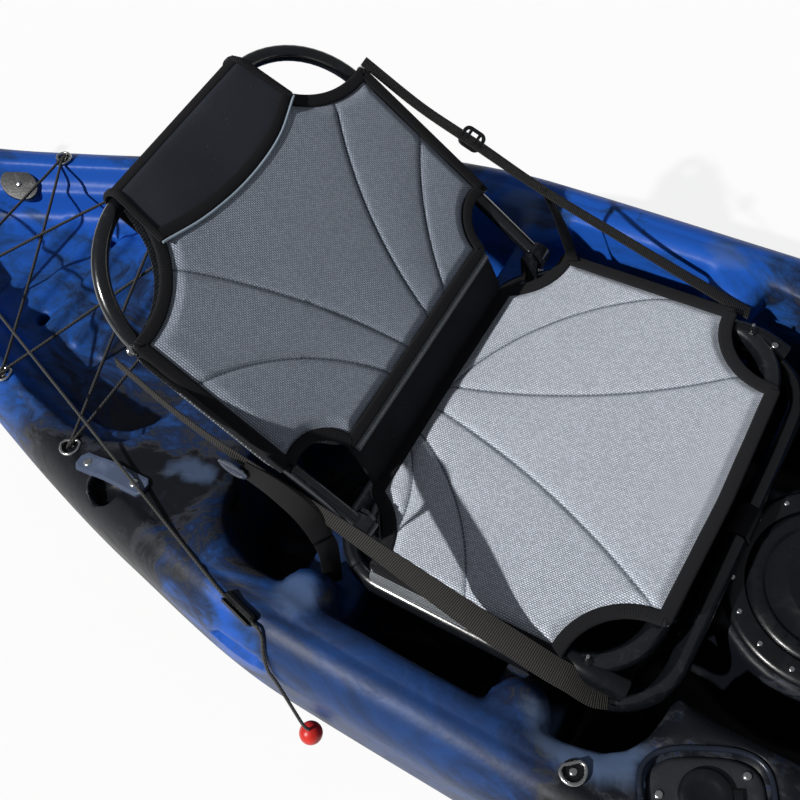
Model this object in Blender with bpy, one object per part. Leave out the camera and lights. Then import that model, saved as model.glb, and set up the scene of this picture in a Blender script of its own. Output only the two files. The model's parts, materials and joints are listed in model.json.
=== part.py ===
"""Two-seat sit-on-top kayak: a hollow moulded hull with two folding mesh seats on tube frames.

Metres, +Z up, +X to the bow, +Y to port. The origin is under the middle of the whole boat, at keel height.
A station is the distance forward of the stern. A seat's own x runs forward of its pan's back edge, and its own
z is measured from the top of the pan.
"""

import math

import bmesh
import bpy
from mathutils import Matrix, Vector
from mathutils.bvhtree import BVHTree

# Hull: driving dimensions
HULL_LENGTH = 4.15
RUDDER_REACH = 0.46  # from the stern to the tip of the raised blade
MIDDLE = (HULL_LENGTH - RUDDER_REACH) / 2  # station of the origin
WALL = 0.0045
GAP = 0.0003  # between pieces that touch
HALF_BEAM = (
    (0.0, 0.030), (0.08, 0.078), (0.27, 0.145), (0.45, 0.208), (0.62, 0.268), (0.89, 0.340), (1.17, 0.386),
    (1.50, 0.391), (2.10, 0.397), (2.55, 0.392), (2.95, 0.350), (3.35, 0.268), (3.70, 0.176), (3.95, 0.098),
    (4.10, 0.045), (4.15, 0.022),
)
SHEER = (
    (0.0, 0.284), (0.15, 0.268), (0.35, 0.256), (0.62, 0.258), (0.85, 0.300), (1.02, 0.320), (2.60, 0.320),
    (3.30, 0.342), (3.80, 0.368), (4.15, 0.385),
)
KEEL = (
    (0.0, 0.110), (0.10, 0.062), (0.30, 0.022), (0.60, 0.005), (0.95, 0.0), (2.95, 0.0), (3.40, 0.010),
    (3.75, 0.042), (3.98, 0.105), (4.10, 0.185), (4.15, 0.270),
)
SHOULDER_DROP = 0.075  # from the gunwale's top to the widest line
SHOULDER_WIDTH = 0.055
DECK_CROWN = 0.008
TUNNEL_DEPTH = 0.020  # of the two hollows beside the centre keel
HULL_STATIONS = (
    0.0, 0.04, 0.12, 0.24, 0.42, 0.60, 0.76, 0.90, 1.03, 1.30, 1.85, 2.35, 2.68, 2.96, 3.22, 3.46, 3.68, 3.86,
    4.0, 4.09, 4.15,
)
CAVITY_STATIONS = (0.0, 0.12, 0.42, 0.76, 1.03, 1.85, 2.68, 3.22, 3.68, 4.0, 4.09)
CAVITY_GROW = 0.0085  # round the wells, where the cavity's walls are plain

# Wells
TANK_FROM, TANK_TO, TANK_FLOOR = 0.22, 0.90, 0.175
TANK_RIM = 0.072  # gunwale width beside the tankwell
SEAT_STATIONS = {"rear": 1.22, "front": 2.49}  # of each pan's back edge
SEAT_WELL_AFT, SEAT_WELL_AHEAD = 0.19, 0.37  # from the pan's back edge
SEAT_WELL_HALF, SEAT_WELL_FLOOR, SEAT_RIM = 0.315, 0.125, 0.080
LEG_WELL_FROM = 0.29
LEG_WELL_LENGTH = {"rear": 0.73, "front": 0.66}
LEG_WELL_HALF = 0.222  # beside the side blocks
LEG_RIM = {"rear": 0.085, "front": 0.074}
SIDE_BLOCK_END = 0.60  # where the leg well widens, from the pan's back edge
RIDGE_HALF = {"rear": 0.088, "front": 0.060}
RIDGE_TOP = 0.235
FOOT_FLOOR = 0.105
POST_STATIONS = (-0.032, 0.232)  # the bosses beside the seat, from the pan's back edge
POST_HALF_LENGTH, POST_FACE = 0.034, 0.268
LEDGE_FACE = 0.198
LEDGE_TOP = 0.2557  # a gap under the seat's base tubes

TANK_RIBS, TANK_RIB_FROM, TANK_RIB_STEP = 6, 0.435, 0.055
SCUPPER = 0.013
SCUPPERS = ((0.52, 0.085), (1.09, 0.16), (1.75, 0.16), (2.36, 0.16), (3.02, 0.13))

# Deck fittings: distances ahead are from the rear pan's back edge, sides from the centreline
HATCH_AHEAD = 0.469
HATCH_RING, HATCH_LID, HATCH_MOUTH, HATCH_SIDES = 0.122, 0.0955, 0.086, 24
BOW_HATCH_STATION, BOW_HATCH_SCALE = 3.61, 0.80
ROD_AHEAD, ROD_SIDE, ROD_TURN = 0.428, 0.290, math.radians(27)
ROD_BORE, ROD_TUBE = 0.021, 0.0245
HANDLE_MIDDLE, HANDLE_SIDE = -0.334, 0.281
HANDLE_SPAN = 0.082  # between the two bolts
GEAR_EYE_AHEAD, GEAR_EYE_SIDE = 0.310, 0.332
EYES = (-0.42, -0.61, -0.81)  # of the tankwell's cord
FAIRLEAD_STATION = 0.135
CLEAT_STATION, CLEAT_SIDE = 1.137, -0.350
CLEAT_TURN, CLEAT_LEAN = math.radians(14), math.radians(16)
CLEAT_EXIT = 0.026  # from the cleat's middle to where the line's free end begins
LINE = 0.002  # radius of the rudder's lift line
BALL = 0.014
BALL_PLACE = Vector((-0.613, -0.407, 0.165))
BOW_HANDLE_STATION, BOW_HANDLE_PIN = 3.86, 0.014  # height of the pin over the deck

# Foot braces: a rail's middle station and its length
RAIL_Z = 0.205
RAIL_PLACES = {"rear": (2.060, 0.26), "front": (3.24, 0.30)}
PEDAL_OFFSET = {"rear": 0.0, "front": -0.05}

# Rudder: stations behind the stern are negative
RUDDER_PIN_X, BLADE_PIN_X = -0.032, -0.082
BLADE_Z = 0.195
HEAD_TOP = 0.286
BLADE_TIP = -(RUDDER_REACH + BLADE_PIN_X)  # from the blade's pin

# Seats
SEAT_Z = 0.320  # top of the pan above the keel
TUBE = 0.012
PAN_TILT = math.radians(1.4)
PAN_TUBE_Z = -0.014
BASE_TUBE_Z = -0.052
HINGE_X, HINGE_Z = -0.001, 0.026
BACK_LEAN = math.radians(48.6)  # from upright, as stored
BACK_HALF, BACK_TUBE, BACK_LENGTH, BACK_CORNER = 0.2125, 0.009, 0.4180, 0.115
STRAP_WIDTH, STRAP_THICK = 0.028, 0.0016

# Corners of the sewn panels, port side: along the seat or up the back, then across it
PAN_FRONT, PAN_FRONT_SIDE = (0.334, 0.161), (0.252, 0.245)
PAN_BACK_SIDE, PAN_BACK = (0.021, 0.245), (-0.026, 0.165)
PAN_FRONT_SCOOP, PAN_BACK_SCOOP = (0.272, 0.184), (0.010, 0.192)
BACK_LOW, BACK_LOW_SIDE = (0.064, 0.156), (0.103, 0.222)
BACK_HIGH_SIDE, BACK_TOP = (0.318, 0.222), (0.424, 0.106)
BACK_LOW_SCOOP, BACK_HIGH_SCOOP = (0.102, 0.172), (0.350, 0.132)

# Straps from the backrest's edge to the pan: both are taut
STRAP_ROUTES = {
    -1: ((-0.2395, -0.2400, 0.2363), (-0.165, -0.2500, 0.204), (-0.090, -0.2530, 0.170), (-0.008, -0.2510, 0.129),
         (0.062, -0.2505, 0.097), (0.120, -0.2500, 0.069), (0.165, -0.2495, 0.047), (0.252, -0.2490, 0.0155),
         (0.282, -0.2470, 0.0030)),
    1: ((-0.2395, 0.2400, 0.2363), (-0.170, 0.2440, 0.186), (-0.104, 0.2480, 0.150), (-0.009, 0.2535, 0.098),
        (0.090, 0.2590, 0.054), (0.180, 0.2605, 0.020), (0.262, 0.2605, -0.008)),
}
BUCKLE_POINT = 2  # of each route

WELD = 0.00005  # slivers shorter than this are merged after a Boolean
SKIN = {}  # the finished hull's search tree


def profile(table):
    """A smooth curve through the table's points that never overshoots them."""
    xs = [x for x, _ in table]
    ys = [y for _, y in table]
    steps = [(ys[i + 1] - ys[i]) / (xs[i + 1] - xs[i]) for i in range(len(xs) - 1)]
    slopes = [steps[0]]
    for before, after in zip(steps, steps[1:]):
        slopes.append(0.0 if before * after <= 0 else 2 * before * after / (before + after))
    slopes.append(steps[-1])

    def value(x):
        x = min(max(x, xs[0]), xs[-1])
        i = max(k for k in range(len(xs) - 1) if xs[k] <= x)
        width = xs[i + 1] - xs[i]
        t = (x - xs[i]) / width
        rise = ys[i + 1] - ys[i]
        bend = slopes[i] * width * t * (1 - t) ** 2 - slopes[i + 1] * width * t * t * (1 - t)
        return ys[i] + rise * t * t * (3 - 2 * t) + bend

    return value


half_beam = profile(HALF_BEAM)
sheer = profile(SHEER)
keel = profile(KEEL)
fullness = profile(((0.0, 0.0), (0.25, 0.25), (0.95, 1.0), (2.8, 1.0), (3.7, 0.3), (4.15, 0.0)))


def at(station, y, z):
    return Vector((station - MIDDLE, y, z))


# Materials
def material(name, colour, roughness, metallic=0.0):
    made = bpy.data.materials.new(name)
    made.use_nodes = True
    shader = made.node_tree.nodes["Principled BSDF"]
    shader.inputs["Base Color"].default_value = (*colour, 1.0)
    shader.inputs["Roughness"].default_value = roughness
    shader.inputs["Metallic"].default_value = metallic
    return made


HULL_BLUE = material("hull_plastic", (0.02, 0.07, 0.28), 0.35)
BLACK_PLASTIC = material("black_plastic", (0.012, 0.012, 0.014), 0.4)
GREY_PLASTIC = material("grey_plastic", (0.12, 0.13, 0.14), 0.45)
TUBE_BLACK = material("black_tube", (0.01, 0.01, 0.011), 0.2)
MESH_GREY = material("seat_mesh", (0.42, 0.46, 0.50), 0.8)
NEOPRENE = material("neoprene", (0.015, 0.015, 0.017), 0.9)
WEBBING = material("webbing", (0.03, 0.03, 0.032), 0.85)
STEEL = material("stainless_steel", (0.7, 0.7, 0.72), 0.25, 1.0)
CORD_BLACK = material("black_cord", (0.012, 0.012, 0.013), 0.8)
RED = material("red_ball", (0.62, 0.03, 0.02), 0.35)


# Making and joining meshes
def add_object(name, mesh, finish, smooth=math.radians(35)):
    made = bpy.data.objects.new(name, mesh)
    bpy.context.scene.collection.objects.link(made)
    mesh.materials.clear()
    mesh.materials.append(finish)
    mesh.shade_smooth()
    mesh.set_sharp_from_angle(angle=smooth)
    return made


def from_bmesh(name, bm, finish):
    bmesh.ops.recalc_face_normals(bm, faces=bm.faces)
    mesh = bpy.data.meshes.new(name)
    bm.to_mesh(mesh)
    bm.free()
    return add_object(name, mesh, finish)


def loft(name, rings, finish, closed=False):
    """Skin between rings of points, with a face on each end."""
    bm = bmesh.new()
    rows = [[bm.verts.new(point) for point in ring] for ring in rings]
    pairs = list(zip(rows, rows[1:] + rows[:1])) if closed else list(zip(rows, rows[1:]))
    count = len(rings[0])
    for low, high in pairs:
        for i in range(count):
            j = (i + 1) % count
            bm.faces.new((low[i], low[j], high[j], high[i]))
    if not closed:
        bm.faces.new(rows[0])
        bm.faces.new(rows[-1])
    bmesh.ops.triangulate(bm, faces=[f for f in bm.faces if len(f.verts) > 3])
    return from_bmesh(name, bm, finish)


def turned(name, outline, centre, finish, sides=32, axis=Vector((0, 0, 1))):
    """A closed outline of (radius, height) pairs turned round an axis through centre."""
    turn = Vector((0, 0, 1)).rotation_difference(axis).to_matrix()
    rings = []
    for k in range(sides):
        a = math.tau * k / sides
        spoke = Vector((math.cos(a), math.sin(a), 0))
        rings.append([centre + turn @ (spoke * r + Vector((0, 0, h))) for r, h in outline])
    return loft(name, rings, finish, closed=True)


def rod(name, start, end, radius, finish, sides=16, end_radius=None):
    """A straight round bar, tapered where end_radius is given."""
    axis = end - start
    side = axis.orthogonal().normalized()
    up = axis.cross(side).normalized()
    rings = []
    for point, r in ((start, radius), (end, radius if end_radius is None else end_radius)):
        angles = [math.tau * k / sides for k in range(sides)]
        rings.append([point + side * (r * math.cos(a)) + up * (r * math.sin(a)) for a in angles])
    return loft(name, rings, finish)


def block(name, size, centre, finish, bevel=0.0, turn=None, segments=1):
    """A box with bevelled edges, turned about its centre."""
    bm = bmesh.new()
    bmesh.ops.create_cube(bm, size=1.0)
    bmesh.ops.scale(bm, vec=size, verts=bm.verts)
    if bevel:
        bmesh.ops.bevel(bm, geom=bm.edges[:], offset=bevel, segments=segments, profile=0.5, affect="EDGES")
    if turn is not None:
        bmesh.ops.rotate(bm, cent=Vector(), matrix=turn, verts=bm.verts)
    bmesh.ops.translate(bm, vec=centre, verts=bm.verts)
    bmesh.ops.triangulate(bm, faces=[f for f in bm.faces if len(f.verts) > 3])
    return from_bmesh(name, bm, finish)


def tube(name, points, radius, finish, cyclic=False, resolution=2):
    """A round tube along a line of points, from a curve with a bevel."""
    curve = bpy.data.curves.new(name, "CURVE")
    curve.dimensions = "3D"
    curve.bevel_depth = radius
    curve.bevel_resolution = resolution
    curve.use_fill_caps = True
    spline = curve.splines.new("POLY")
    spline.points.add(len(points) - 1)
    for slot, point in zip(spline.points, points):
        slot.co = (*point, 1.0)
    spline.use_cyclic_u = cyclic
    made = bpy.data.objects.new(name, curve)
    bpy.context.scene.collection.objects.link(made)
    curve.materials.append(finish)
    return made


def evaluated_mesh(made):
    bpy.context.view_layer.update()
    graph = bpy.context.evaluated_depsgraph_get()
    return bpy.data.meshes.new_from_object(made.evaluated_get(graph), depsgraph=graph)


def as_mesh(made):
    """The same object with its curve turned into a mesh."""
    name = made.name
    mesh = evaluated_mesh(made)
    finish = mesh.materials[0]
    bpy.data.objects.remove(made)
    return add_object(name, mesh, finish)


def combine(target, tool, operation, keep_tool=False):
    """Boolean of two solids, applied to the target."""
    step = target.modifiers.new(operation, "BOOLEAN")
    step.operation = operation
    step.solver = "EXACT"
    step.object = tool
    mesh = evaluated_mesh(target)
    target.modifiers.clear()
    finish = target.data.materials[0]
    weld(mesh)
    target.data = mesh
    mesh.materials.clear()
    mesh.materials.append(finish)
    if not keep_tool:
        bpy.data.objects.remove(tool)
    return target


def weld(mesh):
    """Merges the slivers that a Boolean leaves."""
    bm = bmesh.new()
    bm.from_mesh(mesh)
    bmesh.ops.remove_doubles(bm, verts=bm.verts, dist=WELD)
    bmesh.ops.dissolve_degenerate(bm, edges=bm.edges, dist=WELD / 2)
    bmesh.ops.holes_fill(bm, edges=[e for e in bm.edges if e.is_boundary], sides=4)
    bmesh.ops.triangulate(bm, faces=[f for f in bm.faces if len(f.verts) > 4])
    bm.to_mesh(mesh)
    bm.free()


def simplified(made, angle=math.radians(1.0)):
    """Joins the slivers of flat faces into as few triangles as they need."""
    bm = bmesh.new()
    bm.from_mesh(made.data)
    bmesh.ops.dissolve_limit(bm, angle_limit=angle, verts=bm.verts, edges=bm.edges)
    bmesh.ops.triangulate(bm, faces=bm.faces)
    bm.to_mesh(made.data)
    bm.free()
    return made


def cut(target, tool, keep_tool=False):
    return combine(target, tool, "DIFFERENCE", keep_tool)


def fuse(target, *tools):
    for tool in tools:
        combine(target, tool, "UNION")
    return target


def squircle(angle, corner):
    """A point of a square with rounded corners: the larger corner is, the squarer. Points gather there."""
    c, s = math.cos(angle), math.sin(angle)
    return math.copysign(abs(c) ** (2 / corner), c), math.copysign(abs(s) ** (2 / corner), s)


# Hull
def hull_section(station, inset, low_steps, high_steps, deck_steps):
    """Outline of the hull across one station, from the keel round to port and back by starboard."""
    beam = half_beam(station) - inset
    top = sheer(station) - inset
    low = keel(station) + inset
    drop = min(SHOULDER_DROP, 0.4 * (top - low))
    wide = top - drop
    shoulder = min(SHOULDER_WIDTH, 0.6 * beam)
    full = fullness(station)
    chine = 2.1 + 2.4 * full
    half = []
    for i in range(low_steps + 1):
        a = -math.pi / 2 + math.pi / 2 * i / low_steps
        reach = (abs(math.cos(a)) ** chine + abs(math.sin(a)) ** chine) ** (-1 / chine)
        y = beam * reach * math.cos(a)
        z = wide + (wide - low) * reach * math.sin(a)
        hollow = math.exp(-(((y / beam - 0.43) / 0.14) ** 2)) - 0.08
        half.append((max(y, 0.0), z + TUNNEL_DEPTH * full * max(0.0, hollow)))
    for j in range(1, high_steps + 1):
        a = math.pi / 2 * j / high_steps
        y = beam - shoulder + shoulder * math.cos(a) ** 0.87
        half.append((y, wide + drop * math.sin(a) ** 0.87))
    for k in range(1, deck_steps + 1):
        share = 1 - k / deck_steps
        crown = DECK_CROWN * (1 - share**2) * min(1.0, beam / 0.2)
        half.append(((beam - shoulder) * share, top + crown))
    half[0] = (0.0, half[0][1])
    other = [(-y, z) for y, z in half[-2:0:-1]]
    return half + other


def hull_solid(name, inset, stations, steps):
    rings = []
    for station in stations:
        x = min(max(station, inset), HULL_LENGTH - 2 * inset)
        rings.append([at(x, y, z) for y, z in hull_section(x, inset, *steps)])
    return loft(name, rings, HULL_BLUE)


def outline_angles(corner, count):
    """Evenly turned angles, and one more pair along each of the two long sides."""
    extra = math.acos(0.3 ** (corner / 2))
    between = [extra, math.pi - extra, math.pi + extra, math.tau - extra]
    return sorted([math.tau * k / count for k in range(count)] + between)


def well(name, ends, sides, levels, corner, count):
    """A pocket's cutter. ends are two stations, and sides give its inner and outer y at a station.
    Each level is ("deck", height over the sheer, inset) or ("floor", height over the keel line, inset)."""
    centre = (ends[0] + ends[1]) / 2
    reach = (ends[1] - ends[0]) / 2
    rings = []
    for kind, height, inset in levels:
        ring = []
        for angle in outline_angles(corner, count):
            along, across = squircle(angle, corner)
            station = centre + (reach - inset) * along
            inner, outer = sides(station)
            y = (inner + outer) / 2 + ((outer - inner) / 2 - inset) * across
            z = sheer(station) + height if kind == "deck" else height
            ring.append(at(station, y, z))
        rings.append(ring)
    return loft(name, rings, HULL_BLUE)


def plain_levels(floor, draft, grow, fillet=0.030):
    """Levels for the cavity's side of a well."""
    return (
        ("deck", 0.05, -0.022 - grow),
        ("floor", floor + 0.032 - grow, draft - grow),
        ("floor", floor - grow, draft + fillet - grow),
    )


def rim_levels(floor, draft, grow, lip=0.012, fillet=0.045):
    """Levels of a well with a rounded lip, sloping walls and a rounded foot."""
    if grow:
        return plain_levels(floor, draft, grow, 0.6 * fillet)
    return (
        ("deck", 0.05, -lip),
        ("deck", 0.0005, -lip),
        ("deck", -0.007, 0.0),
        ("floor", floor + 0.032, draft),
        ("floor", floor + 0.010, draft + 0.2 * fillet),
        ("floor", floor, draft + fillet),
    )


def tank_well(grow):
    def sides(station):
        half = half_beam(station) - TANK_RIM
        return -half, half

    levels = (
        ("deck", 0.05, -0.014),
        ("deck", 0.0005, -0.012),
        ("deck", -0.028, 0.002),
        ("deck", -0.034, 0.018),
        ("floor", TANK_FLOOR + 0.022, 0.026),
        ("floor", TANK_FLOOR + 0.006, 0.032),
        ("floor", TANK_FLOOR, 0.048),
    )
    if grow:
        levels = (
            ("deck", 0.05, -0.022 - grow),
            ("deck", -0.030 - grow, -0.004 - grow),
            ("floor", TANK_FLOOR + 0.014 - grow, 0.020 - grow),
            ("floor", TANK_FLOOR - grow, 0.034 - grow),
        )
    return well("tank_cutter", (TANK_FROM, TANK_TO), sides, levels, 5.0, 16 if grow else 24)


def seat_well_half(station):
    return min(SEAT_WELL_HALF, half_beam(station) - SEAT_RIM)


def leg_well_half(which, station):
    """The leg well is narrow beside the side blocks, then opens to the hull's side."""
    start = SEAT_STATIONS[which] + SIDE_BLOCK_END
    t = min(max((station - start) / 0.10, 0.0), 1.0)
    wide = half_beam(station) - LEG_RIM[which]
    return min(wide, LEG_WELL_HALF + (wide - LEG_WELL_HALF) * t * t * (3 - 2 * t))


def post(station, side):
    """A rounded boss on the seat well's wall, up to the gunwale, over a ledge that carries the seat."""
    outer = SEAT_WELL_HALF + 0.03
    top = sheer(station) - 0.004
    rings = []
    for z, spread in ((0.05, 0.012), (top - 0.014, 0.004), (top, -0.010)):
        ring = []
        for k in range(8):
            a = math.pi * k / 7
            along = (POST_HALF_LENGTH + spread) * math.cos(a)
            depth = (outer - POST_FACE + spread) * math.sin(a) ** 0.5
            ring.append(at(station + along, side * (outer - depth), z))
        rings.append(ring)
    boss = loft("post_keep", rings, HULL_BLUE)
    width = outer - LEDGE_FACE
    size = (2 * POST_HALF_LENGTH + 0.010, width, LEDGE_TOP - 0.05)
    centre = at(station, side * (outer - width / 2), 0.05 + size[2] / 2)
    return fuse(boss, block("ledge", size, centre, HULL_BLUE))


def hollow_post(station, side):
    outer = SEAT_WELL_HALF + 0.03
    width = outer - POST_FACE - 2 * WALL
    size = (2 * (POST_HALF_LENGTH - 3 * WALL), width, 0.230)
    made = block("post_keep", size, at(station, side * (outer - width / 2), 0.06 + size[2] / 2), HULL_BLUE)
    width = outer - LEDGE_FACE - WALL
    size = (2 * (POST_HALF_LENGTH - WALL), width, LEDGE_TOP - WALL - 0.055)
    centre = at(station, side * (outer - width / 2), 0.055 + size[2] / 2)
    return fuse(made, block("ledge", size, centre, HULL_BLUE))


def pedestal(grow):
    """The round mound under the middle hatch: its cutter stands on past the leg well's floor."""
    centre = at(SEAT_STATIONS["rear"] + HATCH_AHEAD, 0, 0)
    outline = ((0.152, 0.04), (0.131, RIDGE_TOP - 0.007), (0.126, RIDGE_TOP + 0.0015),
               (0.120, RIDGE_TOP + 0.05))
    outline = [(r - 0.6 * grow, z) for r, z in outline]
    return loft("pedestal_keep", round_rings(centre, outline, 12 if grow else 28), HULL_BLUE)


def seat_well(which, grow):
    start = SEAT_STATIONS[which]

    def sides(station):
        half = seat_well_half(station)
        return -half, half

    ends = (start - SEAT_WELL_AFT, start + SEAT_WELL_AHEAD)
    levels = rim_levels(SEAT_WELL_FLOOR, 0.012, grow, 0.014)
    made = well(which + "_seat_cutter", ends, sides, levels, 8.0, 16 if grow else 24)
    for offset in POST_STATIONS:
        for side in (-1, 1):
            cut(made, (hollow_post if grow else post)(start + offset, side))
    if which == "rear":
        cut(made, pedestal(grow))
    return made


def leg_well(which, grow):
    """The shallow pocket over the ridge, and the deep foot well each side of it."""
    start = SEAT_STATIONS[which]
    ends = (start + LEG_WELL_FROM, start + LEG_WELL_FROM + LEG_WELL_LENGTH[which])

    def across(station):
        half = leg_well_half(which, station)
        return -half, half

    levels = rim_levels(RIDGE_TOP, 0.004, grow, fillet=0.012)
    made = well(which + "_leg_cutter", ends, across, levels, 7.0, 16 if grow else 24)
    for side in (-1, 1):

        def sides(station, side=side):
            inner = side * RIDGE_HALF[which]
            outer = side * (leg_well_half(which, station) - 0.006)
            return min(inner, outer), max(inner, outer)

        levels = (
            ("floor", RIDGE_TOP + 0.03, -grow),
            ("floor", FOOT_FLOOR + 0.030 - grow, 0.010 - grow),
            ("floor", FOOT_FLOOR + 0.008 - grow, 0.018 - grow),
            ("floor", FOOT_FLOOR - grow, (0.030 if grow else 0.036) - grow),
        )
        foot_ends = (ends[0] + 0.004, ends[1] - 0.012)
        if grow:
            levels = (levels[0], levels[1], levels[3])
        foot = well(which + "_foot_cutter", foot_ends, sides, levels, 5.0, 16)
        if which == "rear":
            cut(foot, pedestal(grow))
        fuse(made, foot)
    return made


def rod_recess(side, grow):
    """The tray that the flush rod holder's flange lies in."""
    station = SEAT_STATIONS["rear"] + ROD_AHEAD
    deck = sheer(station)
    rings = []
    for z, inset in ((deck + 0.03, -0.003), (deck - 0.001, -0.003), (deck - 0.014 - grow, 0.002)):
        ring = []
        for k in range(16):
            long, wide = squircle(math.tau * k / 16, 3.4)
            along = long * (0.062 - inset + grow)
            over = wide * (0.043 - inset + grow)
            x = along * math.cos(ROD_TURN) - over * math.sin(ROD_TURN)
            y = along * math.sin(ROD_TURN) + over * math.cos(ROD_TURN)
            ring.append(at(station + x, side * (ROD_SIDE - y), z))
        rings.append(ring)
    return loft("rod_recess_cutter", rings, HULL_BLUE)


def handle_recess(side, grow):
    """The scoop for fingers beside and under a side handle."""
    station = SEAT_STATIONS["rear"] + HANDLE_MIDDLE
    deck = sheer(station)
    rings = []
    for z, share in ((deck + 0.04, 1.05), (deck - 0.006, 0.95), (deck - 0.024, 0.8), (deck - 0.032, 0.5)):
        ring = []
        count = 8 if grow else 12
        for k in range(count):
            a = math.tau * k / count
            x = (0.030 * share + grow) * math.cos(a)
            y = (0.026 * share + grow) * math.sin(a)
            ring.append(at(station + x, side * (HANDLE_SIDE + 0.016 + y), z - grow))
        rings.append(ring)
    return loft("handle_recess_cutter", rings, HULL_BLUE)


def bow_hatch_recess(grow):
    centre = at(BOW_HATCH_STATION, 0, 0)
    floor = bow_hatch_floor()
    radius = HATCH_RING * BOW_HATCH_SCALE + 0.006 + grow
    outline = ((radius + 0.02, floor + 0.08), (radius + 0.003, floor + 0.004), (radius, floor - grow))
    return loft("bow_recess_cutter", round_rings(centre, outline, 12 if grow else 24), HULL_BLUE)


def bow_hatch_floor():
    return sheer(BOW_HATCH_STATION - HATCH_RING * BOW_HATCH_SCALE) - 0.004


def all_wells(grow):
    made = tank_well(grow)
    for which in SEAT_STATIONS:
        fuse(made, seat_well(which, grow), leg_well(which, grow))
    return made


def make_hull():
    hull = hull_solid("hull", 0.0, HULL_STATIONS, (8, 3, 2))
    cavity = hull_solid("cavity", WALL, CAVITY_STATIONS, (8, 1, 1))
    for grow, solid in ((0.0, hull), (CAVITY_GROW, cavity)):
        cut(solid, all_wells(grow))
        cut(solid, bow_hatch_recess(grow))
        for side in (-1, 1):
            cut(solid, rod_recess(side, grow))
            cut(solid, handle_recess(side, grow))
            for station, y in SCUPPERS:
                drain = rod("scupper", at(station, side * y, -0.1), at(station, side * y, 0.22),
                            SCUPPER + 0.5 * grow, HULL_BLUE, 6)
                cut(solid, drain)
    cut(hull, cavity)
    for k in range(TANK_RIBS):
        station = TANK_RIB_FROM + k * TANK_RIB_STEP
        rib = block("rib", (0.014, 0.20, 0.014), at(station, 0, TANK_FLOOR + 0.001), HULL_BLUE)
        fuse(hull, rib)
    middle = at(SEAT_STATIONS["rear"] + HATCH_AHEAD, 0, RIDGE_TOP)
    cut(hull, rod("mouth", middle - Vector((0, 0, 0.03)), middle + Vector((0, 0, 0.05)),
                  HATCH_RING - 0.024, HULL_BLUE, 28))
    bow = at(BOW_HATCH_STATION, 0, bow_hatch_floor())
    cut(hull, rod("mouth", bow - Vector((0, 0, 0.03)), bow + Vector((0, 0, 0.05)),
                  (HATCH_RING - 0.024) * BOW_HATCH_SCALE, HULL_BLUE, 24))
    for side in (-1, 1):
        top = rod_mouth(side)
        low, high = top - Vector((0, 0, 0.012)), top + Vector((0, 0, 0.03))
        cut(hull, rod("mouth", low, high, ROD_TUBE + 0.001, HULL_BLUE, 12))
    return simplified(hull)


def rod_mouth(side):
    """Middle of the rod holder's mouth, on the recess floor."""
    station = SEAT_STATIONS["rear"] + ROD_AHEAD
    return at(station, side * ROD_SIDE, sheer(station) - 0.014)


def seat_on_hull(made, hull, lift):
    """Trims a fitting's underside to the hull's skin, a touching gap away."""
    skin = add_object("skin_cutter", hull.data.copy(), HULL_BLUE)
    skin.location = lift
    return largest_body(cut(made, skin))


def largest_body(made):
    """Drops the scraps of a fitting's foot that reached through the hull's wall."""
    bm = bmesh.new()
    bm.from_mesh(made.data)
    left = set(bm.verts)
    bodies = []
    while left:
        body = {left.pop()}
        edge = set(body)
        while edge:
            edge = {e.other_vert(v) for v in edge for e in v.link_edges} - body
            body |= edge
        left -= body
        bodies.append(body)
    keep = max(bodies, key=len)
    bmesh.ops.delete(bm, geom=[v for v in bm.verts if v not in keep], context="VERTS")
    bm.to_mesh(made.data)
    bm.free()
    return made


def round_rings(centre, outline, sides):
    """Level rings for a loft: (radius, height) pairs round a centre."""
    spokes = [Vector((math.cos(math.tau * k / sides), math.sin(math.tau * k / sides), 0)) for k in range(sides)]
    return [[centre + spoke * r + Vector((0, 0, h)) for spoke in spokes] for r, h in outline]


# Hatches
def hatch(prefix, centre, scale, finish):
    """A round deck plate: a screwed-down ring with an inner lip, and a lid with a grip bar."""
    ring_r, lid_r, mouth_r = HATCH_RING * scale, HATCH_LID * scale, HATCH_MOUTH * scale
    neck = ring_r - 0.0245 * scale
    ring_outline = (
        (ring_r, GAP), (ring_r, 0.004), (ring_r - 0.004, 0.008), (lid_r + 0.001, 0.008),
        (lid_r + 0.001, -0.004), (mouth_r, -0.004), (mouth_r, -0.016),
        (neck - 0.0008, -0.016), (neck - 0.0008, GAP),
    )
    turned(prefix + "_hatch_ring", ring_outline, centre, finish, HATCH_SIDES)
    lid_outline = (
        (lid_r, -0.0035), (lid_r, 0.005), (lid_r - 0.006, 0.0095), (lid_r - 0.016, 0.0095),
        (lid_r - 0.022, 0.004),
    )
    lid = loft(prefix + "_hatch_lid", round_rings(centre, lid_outline, HATCH_SIDES), finish)
    size = (0.030 * scale, 2 * (lid_r - 0.012), 0.010)
    grip = block("grip", size, centre + Vector((0, 0, 0.0075)), finish, 0.003)
    return simplified(fuse(lid, grip))


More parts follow.
